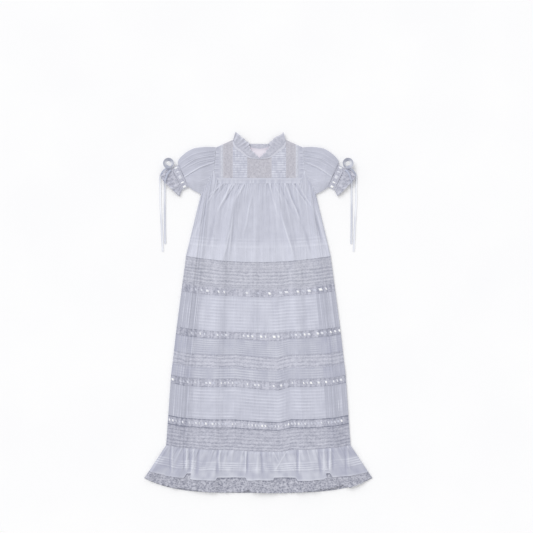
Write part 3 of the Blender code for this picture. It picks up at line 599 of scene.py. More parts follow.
def woven(name, light, dark, double_and_highlight, streak=1.0):
    """Cotton batiste, a plain weave of fine white thread, washed and pressed: matt, with painted
    shade in its creases and hollows and painted highlights on its folds, whiter where it lies
    double in a tuck, and with soft streaks along the gathers. The real thread spacing of 0.25 mm
    is drawn at 1.4 mm, as fine as shows."""
    material, tree, shader = new_material(name, {**COTTON, "Roughness": 0.92, "Sheen Roughness": 0.5})
    place, double_and_painted_light = on_cloth(tree)
    along = add(tree, "Mapping", {}, {0: place, 3: STREAKS})
    streaks = add(tree, "TexNoise", {}, {"Vector": along, "Scale": 1.0, "Detail": 3.0})
    patches = add(tree, "TexNoise", {}, {"Vector": place, "Scale": PATCHES, "Detail": 3.0})
    both = add(tree, "Math", WEIGHED, {0: streaks, 1: 0.8 * streak, 2: patches})
    shade = add(tree, "Math", {"operation": "ADD"}, {0: double_and_painted_light, 1: both})
    tone = add(tree, "MapRange", {}, {0: shade, 1: 0.2, 2: 1.0 + 0.6 * streak})
    colour = add(tree, "Mix", COLOURS, {0: tone, 6: linear(dark), 7: linear(light)})
    # doubled cloth and painted highlights alike take the whiter colour
    thick = add(tree, "Math", {"operation": "MULTIPLY", "use_clamp": True}, {0: double_and_painted_light, 1: 1.0})
    whiter = add(tree, "Mix", COLOURS, {0: thick, 6: colour.outputs[2], 7: linear(double_and_highlight)})
    weave = add(tree, "TexNoise", {}, {"Vector": place, "Scale": WEAVE, "Detail": 2.0})
    height = add(tree, "Math", WEIGHED, {0: streaks, 1: 1.6 * streak, 2: weave})
    join(tree, shader, whiter.outputs[2], height, WEAVE_RELIEF)
    return material, "batiste", CLOTH


def lace(name, thread, hole, rows, mesh, strong, level, slot="cotton_lace"):
    """Cotton machine lace, fine thread twisted to a net with denser motifs: matt, greyer than
    the cloth, with painted shade in its holes for the shaded layers seen through them. The real
    net of about 1 mm is drawn at 3 to 4 mm, as fine as shows. The rows are places down the band,
    half breadth and darkness, and they sway as the cloth hangs."""
    material, tree, shader = new_material(name, {**COTTON, "Roughness": 0.9})
    flat, double_and_painted_light = on_cloth(tree)
    slow = add(tree, "TexNoise", {}, {"Vector": flat, "Scale": LACE_SAGS, "Detail": 1.0}).outputs[1]
    hung = add(tree, "VectorMath", WEIGHED, {0: slow, 1: (0.0, LACE_SAG * MM, 0.0), 2: flat})
    quick = add(tree, "TexNoise", {}, {"Vector": flat, "Scale": LACE_SHIFTS, "Detail": 2.0}).outputs[1]
    shift = (LACE_SHIFT * MM, LACE_SHIFT * MM, 0.0)
    place = add(tree, "VectorMath", WEIGHED, {0: quick, 1: shift, 2: hung})
    fitted = add(tree, "Mapping", {}, {0: place, 3: (1000.0 / mesh[0], 1000.0 / mesh[1], 1.0)})
    cells = add(tree, "TexVoronoi", {"feature": "F1"}, {"Vector": fitted, "Scale": 1.0, "Randomness": 0.85})
    net = add(tree, "MapRange", {}, {0: cells, 1: 0.75, 2: 0.2, 3: -0.5, 4: 0.5})
    motifs = add(tree, "TexNoise", {}, {"Vector": fitted, "Scale": 0.5, "Detail": 3.0})
    motif = add(tree, "MapRange", {}, {0: motifs, 1: 0.35, 2: 0.65, 3: -0.5, 4: 0.5})
    value = add(tree, "Math", WEIGHED, {0: net, 1: strong[0], 2: level})
    value = add(tree, "Math", WEIGHED, {0: motif, 1: strong[1], 2: value})
    value = add(tree, "Math", {"operation": "SUBTRACT"}, {0: value, 1: double_and_painted_light})
    down_band = add(tree, "SeparateXYZ", {}, {0: place}).outputs[1]
    broken = add(tree, "MapRange", {}, {0: motifs, 1: 0.35, 2: 0.6, 3: 0.7, 4: 1.1})
    for down, half, dark in rows:
        row = (down + (LACE_SAG + LACE_SHIFT) / 2) * MM
        off = add(tree, "Math", {"operation": "SUBTRACT"}, {0: down_band, 1: row})
        far = add(tree, "Math", {"operation": "ABSOLUTE"}, {0: off})
        near = add(tree, "MapRange", {}, {0: far, 1: half * MM, 2: 0.3 * half * MM, 3: 0.0, 4: dark})
        value = add(tree, "Math", WEIGHED, {0: near, 1: broken, 2: value})
    shown = add(tree, "MapRange", {}, {0: value, 1: 0.0, 2: 1.0})
    colour = add(tree, "Mix", COLOURS, {0: shown, 6: linear(thread), 7: linear(hole)})
    join(tree, shader, colour.outputs[2], shown, LACE_RELIEF, invert=True)
    return material, slot, LACE


def satin(name, light, dark):
    """Polyester satin ribbon. Long smooth floats of bright thread: glossier than the cotton,
    with faint lines along its length, and bluish where it turns into its own shadow."""
    material, tree, shader = new_material(name, {"Roughness": 0.34, "IOR": 1.5, "Sheen Weight": 0.1})
    place, double_and_painted_light = on_cloth(tree)
    along = add(tree, "Mapping", {}, {0: place, 3: FLOATS})
    lines = add(tree, "TexNoise", {}, {"Vector": along, "Scale": 1.0, "Detail": 2.0})
    both = add(tree, "Math", WEIGHED, {0: lines, 1: 0.4, 2: double_and_painted_light})
    tone = add(tree, "MapRange", {}, {0: both, 1: 0.2, 2: 1.2})
    colour = add(tree, "Mix", COLOURS, {0: tone, 6: linear(dark), 7: linear(light)})
    join(tree, shader, colour.outputs[2], lines, SATIN_RELIEF)
    return material, "satin_ribbon", RIBBON


def painted_board():
    """Painted board, rolled matt: pale, with a faint unevenness."""
    finish = {"Roughness": 0.95, "Specular IOR Level": 0.1}
    material, tree, shader = new_material("matt_painted_board", finish)
    grain = add(tree, "TexNoise", {}, {"Scale": 60.0, "Detail": 2.0})
    colour = add(tree, "Mix", COLOURS, {0: grain, 6: linear("#fafafc"), 7: linear("#ffffff")})
    tree.links.new(colour.outputs[2], shader.inputs["Base Color"])
    return material


# Each stuff is its material, the name of the slot that it would fill, which nothing here uses,
# and the thickness it is drawn with
BATISTE = woven("cotton_batiste", "#d3d5e3", "#b6b8c6", "#dfe1ec")
GREY_BATISTE = woven("cotton_batiste_fine_tucks", "#ccced9", "#afb1c2", "#dbdde8", streak=0.6)
YOKE_BATISTE = woven("cotton_batiste_yoke", "#d0d2df", "#babccb", "#dfe1ec", streak=0.4)
# the inside of the back yoke: a warmer white, and drawn lighter than the front's batiste as painted light
# against the shade it lies in
INSIDE = woven("cotton_batiste_inside", "#e3dee8", "#d0cbd8", "#ece7f1", streak=0.3)
RIBBON_SATIN = satin("satin_ribbon", "#ffffff", "#aeb3cb")
BOW_SATIN = satin("satin_ribbon_bow", "#f8f9fd", "#a0a4b6")
TAIL_SATIN = satin("satin_ribbon_narrow", "#f8faff", "#959cb6")
LACE_UPPER = lace(
    "cotton_lace_upper", "#d2d3de", "#a2a4b2",
    ((0.8, 1.6, 0.4), (6.5, 1.4, 0.15), (10.0, 1.3, -0.18), (17.0, 1.4, 0.15), (20.5, 1.3, -0.18),
     (24.5, 1.5, 0.34), (28.0, 1.3, -0.3), (32.0, 1.5, 0.34), (35.5, 1.3, -0.26), (39.5, 1.4, 0.26),
     (43.0, 1.3, -0.26), (47.0, 1.5, 0.34), (51.0, 1.3, -0.3), (54.5, 1.4, 0.24), (59.0, 1.4, 0.24)),
    (3.8, 2.4), (0.38, 0.08), 0.46)
LACE_MIDDLE = lace(
    "cotton_lace_middle", "#d5d6e2", "#a4a6b5",
    ((1.0, 1.6, 0.35), (4.5, 1.4, -0.15), (8.0, 1.5, 0.35), (12.5, 1.4, -0.2), (17.5, 1.5, 0.3),
     (21.5, 1.4, -0.2), (26.0, 1.6, 0.4)),
    (4.4, 2.4), (0.38, 0.1), 0.45)
LACE_LOWER = lace(
    "cotton_lace_lower", "#d0d1dd", "#9496a6",
    ((2.0, 1.3, 0.3), (6.5, 1.2, -0.1), (10.0, 1.3, 0.22), (13.5, 1.2, -0.15), (18.0, 1.4, 0.25),
     (21.0, 1.2, -0.2), (25.0, 1.3, 0.26), (28.8, 1.2, -0.2), (33.5, 1.5, 0.32), (37.0, 1.2, -0.22),
     (41.0, 1.5, 0.3), (44.5, 1.2, -0.2), (47.3, 1.3, 0.3)),
    (4.2, 2.2), (0.36, 0.12), 0.45)
LACE_HEM = lace("cotton_lace_hem", "#cbccd7", "#7d7f90", (), (4.2, 3.2), (0.7, 0.3), 0.52)
LACE_YOKE = lace("cotton_lace_yoke", "#cbcad3", "#acabb6", (), (3.6, 3.4), (0.5, 0.3), 0.42)
LACE_FRILL = lace("cotton_lace_frill", "#d2d3df", "#a2a4b3", (), (3.8, 3.8), (0.35, 0.2), 0.40)
LACE_CUFF = lace("cotton_lace_cuff", "#cdceda", "#8a8d9f", (), (3.4, 3.4), (0.55, 0.3), 0.35)
BEADING = lace("cotton_beading", "#cacbd8", "#858899", (), (3.6, 2.8), (0.4, 0.25), 0.3, "beading_lace")
LADDER = lace("cotton_entredeux", "#d6d8e3", "#b2b4c1", (), (2.6, 3.0), (0.5, 0.3), 0.3, "beading_lace")
BAND_LACES = {
    "lace_band_upper": LACE_UPPER,
    "lace_insertion": LACE_MIDDLE,
    "lace_band_lower": LACE_LOWER,
}


def drift(x, y):
    """The yoke and the sleeve heads lie a little to the right of the skirt's middle."""
    return x + YOKE_DRIFT * rise_from(y, *DRIFT_RISE) * (1 - rise_from(np.abs(x), *DRIFT_FADE))


def make_piece(name, points, faces, cloth, double_and_painted_light, stuff, node=None):
    """A mesh from points in millimetres, an outer wall and then an inner one, with its place on
    the flat cloth kept as a UV map. The solid that it stands for is named as it is, without the
    last word."""
    material, slot, _ = stuff
    if len(cloth) < len(points):
        cloth = np.concatenate((cloth, cloth))
    if len(double_and_painted_light) < len(points):
        double_and_painted_light = np.concatenate((double_and_painted_light, double_and_painted_light))
    x, y, z = points[:, 0], points[:, 1], points[:, 2]
    laid = np.stack((drift(x, y), y - MIDDLE, z), axis=1) * MM
    mesh = bpy.data.meshes.new(name)
    mesh.from_pydata(laid.tolist(), [], faces.tolist())
    mesh.shade_smooth()
    mesh.set_sharp_from_angle(angle=RIM_ANGLE)
    # how far the cloth lies double, with the painted light and shade of its folds, seams and sides, kept on
    # each point
    mesh.attributes.new("double_and_painted_light", "FLOAT", "POINT").data.foreach_set("value", double_and_painted_light.astype(np.float32))
    corners = np.empty(len(mesh.loops), np.int32)
    mesh.loops.foreach_get("vertex_index", corners)
    mesh.uv_layers.new(name="cloth").data.foreach_set("uv", (cloth[corners] * MM).astype(np.float32).ravel())
    mesh.materials.append(material)
    piece = bpy.data.objects.new(name, mesh)
    bpy.context.scene.collection.objects.link(piece)
    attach(piece, "root")
    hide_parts(node or name.rsplit("_", 1)[0])
    return piece


def shell(name, x, y, top, across, down, stuff, double_and_painted_light=0.0, thick=None, node=None):
    """A closed thin sheet of cloth under a grid of heights; rows run down, columns to the right."""
    rows, columns = x.shape
    count = rows * columns
    under = np.maximum(top - (thick or stuff[2]), 0.0)
    points = np.concatenate([np.stack((x, y, z), axis=-1).reshape(-1, 3) for z in (top, under)])
    cloth = np.stack((across + 0 * x, down + 0 * x), axis=-1).reshape(-1, 2)
    index = np.arange(count).reshape(rows, columns)
    quads = np.stack((index[:-1, :-1], index[1:, :-1], index[1:, 1:], index[:-1, 1:]), axis=-1).reshape(-1, 4)
    rim = np.concatenate((index[0, :-1], index[:-1, -1], index[-1, :0:-1], index[:0:-1, 0]))
    after = np.roll(rim, -1)
    edge = np.stack((rim, after, after + count, rim + count), axis=-1)
    faces = np.concatenate((quads, quads[:, ::-1] + count, edge))
    shade = np.broadcast_to(double_and_painted_light, x.shape).ravel()
    return make_piece(name, points, faces, cloth, shade, stuff, node)


def front_fold(share, y):
    """Height of the front's folds over its plain level, at a share of the half width."""
    down = np.clip((YOKE_SEAM - y) / (YOKE_SEAM - SKIRT_START), 0.0, 1.0)
    start, end, kept = FOLD_FADE
    fade = mix(1.0, kept, smooth((start - y) / (start - end)))
    height = 0.0
    for at_seam, at_band, half, high in FOLDS:
        height = height + high * bump(share - mix(at_seam, at_band, down), half) * fade
    for place in SIDE_PLEATS:
        height = height + SIDE_PLEAT * bump(np.abs(share) - place, 0.06) * fade * smooth(down)
    return height * fall_to(np.abs(share), 1, 0.04)


def creases(x, y):
    """Height of the soft creases in the table."""
    height = 0.0 * x
    for x0, y0, x1, y1, half, high in CREASES:
        line = mix(x0, x1, (y0 - y) / (y0 - y1))
        ends = smooth((y0 - y) / CREASE_END + 0.5) * smooth((y - y1) / CREASE_END + 0.5)
        height = height + high * bump(x - line, half) * ends
    return height


def skirt_point(share, middle):
    """The place at a share of the half width in a row, which is named by its height at the middle."""
    half = look_up(SKIRT_SHAPE, middle, 1)
    rise = look_up(SKIRT_SHAPE, middle, 2)
    power = look_up(SKIRT_SHAPE, middle, 3)
    sag = look_up(SAG, share) * look_up(SAG_SHARE, middle)
    return share * half, middle + rise * np.abs(share) ** power - sag


def skirt_grid(top, bottom, wide, fine=STITCH):
    """Shares and middle heights of a grid over one band."""
    share = np.linspace(-1, 1, int(2 * wide / fine) + 1)
    middle = np.linspace(top, bottom, max(3, int((top - bottom) / fine) + 1))
    return np.meshgrid(share, middle)


def plain_level(share, middle, x, y):
    """Height of the front's outer face with its folds, creases and long soft waves."""
    side = np.abs(share)
    long_waves = 0.4 * sway("skirt", share) + 0.3 * waves(share * 41 + y / 250.0, 22)
    side_folds = 1.3 * rise_from(side, SIDE_FROM, 0.12) * small_folds("side_pleats", share)
    uneven = creases(x, y) + long_waves + side_folds + 0.35 * rumple("skirt", x, y)
    return FACE + front_fold(share, middle) + uneven * fall_to(side, 1, 0.05) + 0.5


def tuck_steps(top, y, bottom, count, margin):
    """Rise of the pressed tucks, each swelling down to a step, and where the cloth lies double."""
    pitch = (top - bottom - 2 * margin) / count
    place = (top - margin - y) / pitch
    inside = (place > 0) & (place < count)
    part = place - np.floor(place)
    rise = np.where(part < 0.8, smooth(part / 0.8) ** 1.5, (1 - part) / 0.2)
    double = bump(part - 0.6, 0.34)
    return np.where(inside, rise, 0.0), np.where(inside, double, 0.0)


def tuck_swell(below, rise):
    """A pressed tuck, which swells over its rise down to its edge and steps down there."""
    return np.where(below < 0, smooth(1 + below / rise) ** 2, smooth(1 - below / TUCK_STEP))


def puckers(share, edge_distance, pitch, reach, seed):
    """Small upright puckers that die away from a seam."""
    narrow = ridges(share * pitch + 300, seed, 0.3) - 0.35
    return narrow * np.exp(-np.maximum(edge_distance, 0.0) / reach)


def pressed_lines(table, x, y, seam):
    """Height of the thin folds in a table; those that start above the seam don't fade there."""
    height = 0.0 * x
    for number, (x0, y0, x1, y1, half, high) in enumerate(table):
        share = (y0 - y) / (y0 - y1)
        inside = np.clip(share, 0.0, 1.0)
        line = mix(x0, x1, share) + 2.2 * waves(y / 30.0 + 9 * number + 40, 37) * inside
        wide = half * mix(0.75, 1.25, inside)
        ends = (1.0 if y0 > seam else smooth(share / 0.35)) * fall_to(share, 1.02, 0.5)
        height = height + high * bump(x - line, wide) * ends
    return height


def upper_skirt_grid(columns, rows):
    """Shares, places and distances below the upper edge of a grid over the upper skirt."""
    share, t = grid(columns, rows, -1)
    side = np.abs(share)
    x0 = np.sign(share) * look_up(SKIRT_TOP, side, 1)
    y0 = look_up(SKIRT_TOP, side, 2) - GAP / 2
    x1, y1 = skirt_point(share, SKIRT_START + GAP / 2)
    y = mix(y0, y1, t)
    return share, t, mix(x0, x1, t), y, y0 - y


def upper_skirt():
    """The gathered skirt between the yoke and the first lace, with its three light tucks."""
    share, t, x, y, down = upper_skirt_grid(341, 112)
    side = np.abs(share)
    thread = np.sign(share) * mix(side, look_up(FOLD_FAN, side), t)
    busy = mix(0.45, 1.0, rise_from(side, 0.15, 0.3))
    reach = 16.0 + 22.0 * np.abs(sway("skirt_reach", thread))
    fine = small_folds("skirt_fine", thread) * np.exp(-down / reach)
    medium = small_folds("skirt_medium", thread) * np.exp(-down / 55.0) * busy
    long_folds = small_folds("skirt_long", thread) * smooth(down / 40.0) * busy
    pressed = pressed_lines(PRESSED, x, y, YOKE_SEAM)
    corner = rise_from(side, 0.62, 0.06)
    # painted light along the seam at the armhole corners, and painted shade along the outline
    edge = corner * bump(down, 6.0) - 1.3 * rise_from(side, 0.985, 0.01)
    gathers = 2.0 * fine + 1.7 * medium + 0.5 * long_folds + pressed
    gathers = gathers * (1 - 0.85 * corner * np.exp(-down / 5.0))
    # how far the cloth lies double in its tucks, with painted highlights on the ridges of its folds, painted
    # shade in their hollows and painted light over the puckers
    cloth_double_and_painted_light = 0.5 * fine + 0.35 * medium + 0.2 * long_folds + 0.25 * pressed + 0.05 + 0.3 * edge
    tucks = 0.0
    clear = look_up(TUCKS_SHOWN, share) * (0.8 + 0.4 * rumple("skirt_tucks", share, y))
    for height in UPPER_TUCKS:
        below = height + UPPER_TUCK_RISE * share**2 - y
        tucks = tucks + 0.4 * clear * tuck_swell(below, 6.0)
        cloth_double_and_painted_light = cloth_double_and_painted_light + 0.25 * clear * bump(below + 2.2, 3.4)
    last = UPPER_TUCKS[-1] + UPPER_TUCK_RISE * share**2 - y
    puckered = puckers(share, last, 62, 22.0, 34) * smooth((last + 6.0) / 10.0)
    tucks = tucks + 0.9 * puckered
    cloth_double_and_painted_light = cloth_double_and_painted_light + 0.2 * smooth((last + 16.0) / 12.0) + 0.4 * puckered
    level = plain_level(share, np.minimum(y, YOKE_SEAM), x, y)
    fold = mix(1.0, level - FACE, smooth(down / 45.0))
    top = np.maximum(FACE + fold + gathers * smooth(down / 3.0 + 0.4) + tucks, LOWEST)
    piece = shell("upper_skirt_front_cloth", x, y, top, share * 150, down, BATISTE, cloth_double_and_painted_light)


def tucked_band(name, number, share, middle, high, low, tucks):
    """Rise and shade of a band of pin tucks, which fade towards the pleated sides."""
    panel = name in PANEL_SHADE
    drawn, tone = PANEL_SHADE.get(name, FINE_SHADE)
    side = rise_from(np.abs(share), SIDE_FROM, 0.1)
    rise, double = tuck_steps(high, middle, low, tucks, 0.05 * (high - low + GAP))
    patchy = 0.75 + 0.6 * rumple("tucks", share, middle)
    faded = (1 - 0.5 * side) * patchy
    seam = puckers(share, high - middle, 88, 8.0, 50 + number)
    seam = seam + puckers(share, middle - low, 88, 6.0, 70 + number)
    # painted light and shade of pleats towards the sides, drawn in the colour only
    pleat_painted_light = side * small_folds("band_pleat_painted_light", share) * patchy * (2.1 if panel else 0.7)
    outline = rise_from(np.abs(share), OUTLINE_FROM, 0.008)
    # painted shade towards the pleated sides and along the outline; the puckers along the seams get painted
    # light
    side_and_outline_painted_shade = 0.42 * side * (1.0 if panel else 0.3) + 0.5 * outline
    shade = drawn * double * faded + 0.3 * seam + tone + pleat_painted_light - side_and_outline_painted_shade
    shade = shade + 0.12 * rumple("panels", share, middle)
    return (0.4 if panel else 0.6) * rise * faded + 0.9 * seam, shade


def beading_band(name, number, share, middle, high, low):
    """Rise and shade of a beading, with its two sewn edges."""
    above, below = high - middle, middle - low
    rise = 0.5 * bump(above - 1.6, 1.6) + 0.5 * bump(below - 1.6, 1.6) - 0.5
    edges = BEADINGS[name][2] * (bump(above - 1.2, 2.0) + bump(below - 1.2, 2.0))
    side = rise_from(np.abs(share), SIDE_FROM, 0.1)
    # darker towards the sides by painted shade
    return rise, 0.25 * sway("beading", share, number) + edges - 0.2 * side


def lace_band(number, share, middle, high):
    """Rise and shade of a lace band, puckered along its upper seam."""
    seam = puckers(share, high - middle, 60, 12.0, 60 + number)
    uneven = rumple("lace", share, middle)
    side = rise_from(np.abs(share), SIDE_FROM, 0.1)
    # painted light over the puckers of the seam, and painted shade towards the sides
    return 0.6 * seam + 0.25 * uneven - 0.5, 0.2 * seam - 0.15 * side + 0.12 * uneven


def skirt_bands():
    """The front's bands from the upper lace down to the ruffle, each sewn under the one above."""
    edge = SKIRT_START
    for number, (name, kind, depth, tucks) in enumerate(BANDS):
        high = edge - GAP / 2
        low = edge - depth + GAP / 2
        edge -= depth
        wide = look_up(SKIRT_SHAPE, (high + low) / 2)
        share, middle = skirt_grid(high, low, wide)
        x, y = skirt_point(share, middle)
        trim = []
        if kind == "tucks":
            rise, shade = tucked_band(name, number, share, middle, high, low, tucks)
            stuff = BATISTE if name in PANEL_SHADE else GREY_BATISTE
        elif kind == "beading":
            rise, shade = beading_band(name, number, share, middle, high, low)
            stuff = BEADING
            trim = [beading_ribbon(name, (high + low) / 2, wide, number)]
        else:
            rise, shade = lace_band(number, share, middle, high)
            stuff = BAND_LACES[name]
        top = plain_level(share, middle, x, y) + rise
        piece = shell(f"{name}_front_cloth", x, y, top, share * wide, high - middle, stuff, shade)


def threaded(place, seed, hidden):
    """How far the ribbon stands out of the beading, one unit a slot, from 0, hidden, to 1."""
    dice = np.random.default_rng(seed)
    shown = dice.uniform(0, 1, THREAD_DRAWS)
    strong = np.where(shown < hidden, 0.1, mix(0.5, 1.0, (shown - hidden) / (1 - hidden)))
    half = dice.uniform(0.2, 0.42, THREAD_DRAWS)
    cell = np.floor(place).astype(int)
    slot = cell % THREAD_DRAWS
    return strong[slot] * fall_to(np.abs(place - cell - 0.5), half[slot], 0.16)


def beading_ribbon(name, middle, wide, number):
    """Ribbon threaded in and out of the beading: hidden where it dips, with painted highlights
    where it comes up and painted shade where it dips.
    """
    share = np.linspace(-1, 1, int(2 * wide / 1.2) + 1)
    across = np.linspace(RIBBON_HALF, -RIBBON_HALF, 9)
    share, off = np.meshgrid(share, across)
    x, y = skirt_point(share, middle + off)
    level = plain_level(share, middle + off, x, y) - 0.5
    pitch, hidden, _ = BEADINGS[name]
    place = (share + 1) * wide / pitch + 0.12 * off / RIBBON_HALF
    over = threaded(place, 110 + number, hidden) * fall_to(np.abs(off), RIBBON_HALF, 1.9)
    # painted highlights where the ribbon comes up, painted shade where it dips
    return shell(f"{name}_ribbon", x, y, level - RIBBON_DIP + RIBBON_RISE * over, share * wide, off,
                 RIBBON_SATIN, 1.1 * over**2, node=name.replace("beading", "ribbon"))


def stepped(table, share, half):
    """The table's second value, which changes in a soft step at each first value."""
    level = table[0][1] + 0.0 * share
    for (_, before), (edge, after) in zip(table, table[1:]):
        level = level + (after - before) * smooth((share - edge + half) / (2 * half))
    return level


def ruffle_fold(share, down):
    """Height of the ruffle's laid waves, which grow from the gathered seam to the hem."""
    first = RUFFLE_LEVELS[0][1]
    level = stepped(RUFFLE_LEVELS, share, RUFFLE_SOFT) - first * (1 - smooth((share + 1) / 0.03))
    return level * fall_to(share, 1, 0.03) * mix(0.3, 1.0, smooth(down))


def ruffle_foot(share):
    """How far the cloth's lower edge lies under its usual height: each fold ends at its own."""
    return stepped(RUFFLE_FEET, share, RUFFLE_EDGE / 2) + 0.7 * sway("ruffle_foot", share)


def hem_drop(share):
    """How far the lace's lower edge lies under its usual height."""
    return look_up(HEM_EDGE, share) + 0.8 * sway("hem", share)


def ruffle():
    """The gathered ruffle with its tucks, and the scalloped lace along its foot."""
    top_edge = HEM_LACE_TOP + RUFFLE_DEPTH - GAP / 2
    share, t = grid(400, 54, -1)
    side = np.abs(share)
    middle = mix(top_edge, HEM_LACE_TOP - ruffle_foot(share), t)
    x, y = skirt_point(share, middle)
    above = top_edge - middle
    fan = share + 0.016 * sway("ruffle_fan", share) * above / 30.0
    fine = small_folds("ruffle_fine", share) * np.exp(-above / 14.0)
    medium = small_folds("ruffle_medium", fan)
    gathers = 1.8 * fine + 1.8 * medium * np.exp(-above / 34.0) + 0.9 * sway("ruffle", share)
    lines = pressed_lines(RUFFLE_LINES, x, y, HEM_LACE_TOP)
    # painted highlights on the ridges of the gathers and pressed folds, painted shade in their hollows
    shade = 0.4 * fine + 0.35 * medium * np.exp(-above / 30.0) + 0.05 + 0.45 * lines
    shade = shade + 0.25 * rumple("ruffle", share, middle)
    # lighter at the foot, and painted shade towards the sides
    shade = shade + 0.3 * rise_from(t, 0.93, 0.04) - 0.25 * rise_from(side, 0.65, 0.1)
    top = FACE + 0.7 + ruffle_fold(share, t) + (gathers + 0.8 * lines) * fall_to(side, 1, 0.04)
    top = top + 0.3 + 0.4 * rise_from(t, 0.9, 0.1)
    clear = np.clip(0.7 + 0.8 * rumple("ruffle_tucks", share, middle), 0.0, 1.3)
    first = (top_edge + HEM_LACE_TOP) / 2 + RUFFLE_TUCK_START + 2.0 * sway("ruffle_tucks", share)
    for number in range(RUFFLE_TUCKS):
        below = first - number * RUFFLE_TUCK_APART - middle
        top = top + 0.5 * clear * tuck_swell(below, 3.2)
        # each tuck lies double and is lighter, with painted shade just under its edge
        shade = shade + 0.55 * clear * bump(below + 1.8, 2.3) - 0.2 * clear * bump(below - 1.0, 1.2)
    sewn = plain_level(share, middle, x, y) - 0.5
    top = mix(sewn, top, smooth(above / 7.0 + 0.1))
    piece = shell("ruffle_front_cloth", x, y, top, share * 240, above, GREY_BATISTE, shade)
    hem_lace()


def hem_lace():
    """The scalloped lace, which lies under the ruffle's foot and follows its folds."""
    share, t = grid(421, 25, -1)
    x0, y0 = skirt_point(share, HEM_LACE_TOP - ruffle_foot(share) + 4.0)
    x1, y1 = skirt_point(share, HEM)
    scallop = SCALLOP * np.abs(np.cos(np.pi * SCALLOPS * share / 2))
    y = mix(y0, y1 - hem_drop(share), t) + (SCALLOP - scallop) * t
    uneven = 0.9 * sway("ruffle", share) + 0.5 + 0.8 * t * rumple("hem", share, t)
    top = FACE - 0.2 + ruffle_fold(share, 1.0) + uneven * fall_to(np.abs(share), 1, 0.04)
    # painted shadow of the ruffle's foot along the lace's upper part
    piece = shell("hem_lace_front_cloth", mix(x0, x1, t), y, top, share * 258, 33.0 * t, LACE_HEM,
                  -0.4 * bump(t - 0.15, 0.07))


def back_pieces():
    """The back lies flat under the front, seen only at the neck, the edges and from below."""
    edge = SKIRT_START
    for name, kind, depth, _ in BANDS:
        back_band(f"{name}_back", kind, edge - GAP / 2, edge - depth + GAP / 2, BAND_LACES.get(name))
        edge -= depth
    back_band("ruffle_back", "tucks", edge - GAP / 2, HEM_LACE_TOP + GAP / 2, None)
    back_band("hem_lace_back", "lace", HEM_LACE_TOP - GAP / 2, HEM, LACE_HEM)
    share, _, x, y, down = upper_skirt_grid(61, 21)
    piece = shell("upper_skirt_back_cloth", x, y, WALL + 0 * x, share * 150, down, BATISTE, thick=WALL)


def back_band(name, kind, high, low, net):
    """One flat band of the back."""
    wide = look_up(SKIRT_SHAPE, (high + low) / 2)
    share, middle = skirt_grid(high, low, wide, 4.0)
    x, y = skirt_point(share, middle)
    stuff = {"tucks": BATISTE, "beading": BEADING}.get(kind, net)
    piece = shell(f"{name}_cloth", x, y, WALL + 0 * x, share * wide, high - middle, stuff, thick=WALL)


def outwards(share, side):
    """A share from the left to the right as a share from the middle outwards."""
    return share if side > 0 else 1 - share


def yoke_tucks(side, word):
    """The pin-tucked panel beside the neck."""
    u, v = np.meshgrid(np.linspace(0, 1, 37), np.linspace(YOKE_TUCKS_TOP, YOKE_PANELS + GAP / 2, 66))
    inner = np.maximum(CENTRE_LACE, look_up(tuple((y, x) for x, y in NECK_SEAM), v)) + GAP / 2
    x = side * mix(inner, TUCKED_TO - GAP / 2, outwards(u, side))
    rise, double = tuck_steps(YOKE_TUCKS_TOP, v, YOKE_PANELS, YOKE_TUCKS, YOKE_TUCKS_MARGIN)
    puckered = rumple("yoke_tucks", x, v)
    top = FACE + 0.3 + 0.5 * rise + 0.45 * puckered
    # whiter where the cloth lies double, with painted light on the puckers' swells and painted shade in their
    # hollows
    shade = 0.5 * double * (1 + 0.8 * puckered) + 0.2 * puckered - 0.1
    piece = shell(f"yoke_tucks_{word}_cloth", x, v, top, x, YOKE_TUCKS_TOP - v, YOKE_BATISTE, shade)


def yoke_strips(side, word):
    """The lace strip beside the tucks, bright along its sewn edges, and its entredeux."""
    strips = (("lace", TUCKED_TO, LACE_STRIP_TO, LACE_YOKE),
              ("entredeux", LACE_STRIP_TO, ENTREDEUX_TO, LADDER))
    for kind, near, far, stuff in strips:
        u, t = grid(max(7, int((far - near) / STITCH)), 68)
        away = mix(near + GAP / 2, far - GAP / 2, outwards(u, side))
        y = mix(look_up(SHOULDER, away) - GAP, YOKE_PANELS + GAP / 2, t)
        lift = 0.5 * bump(u - 0.5, 0.5) if kind == "entredeux" else 0.15 * rumple("yoke_lace", away, y)
        shade = 0.8 * (bump(away - near, 2.0) + bump(far - away, 2.0)) if kind == "lace" else 0.0
        piece = shell(f"yoke_{kind}_{word}_cloth", side * away, y, FACE + 0.1 + lift, y, away - near,
                      stuff, shade)


def yoke_side(side, word):
    """The narrow plain piece next to the armhole, which puckers along its seam."""
    u, t = grid(12, 68)
    s = outwards(u, side)
    high = look_up(SHOULDER, mix(ENTREDEUX_TO, SHOULDER_TO, s)) - GAP
    y = mix(high, YOKE_PANELS + GAP / 2, t)
    away = mix(ENTREDEUX_TO + GAP / 2, look_up(YOKE_SIDE, y) - GAP / 2, s)
    puckered = small_folds("yoke_side", y) * bump(s - 0.6, 0.55)
    # painted light and shade over the puckers, a little darker in the middle, and painted light along the
    # armhole seam
    shade = 1.1 * puckered - 0.1 * bump(s - 0.55, 0.3) + 0.4 * rise_from(s, 0.85, 0.12)
    piece = shell(f"yoke_side_{word}_cloth", side * away, y, FACE + 0.2 + 1.1 * puckered, away, -y,
                  YOKE_BATISTE, shade)


def centre_lace():
    """The lace in the middle of the yoke, under the neck."""
    reach = CENTRE_LACE - GAP / 2
    s, t = grid(38, 36, -1)
    x = s * reach
    y = mix(look_up(NECK_SEAM, np.abs(x)) - GAP, YOKE_PANELS + GAP / 2, t)
    top = FACE + 0.1 + 0.2 * rumple("centre_lace", x, y)
    piece = shell("yoke_centre_lace_cloth", x, y, top, y, x + CENTRE_LACE, LACE_YOKE,
                  0.8 * bump(reach - np.abs(x), 2.0))


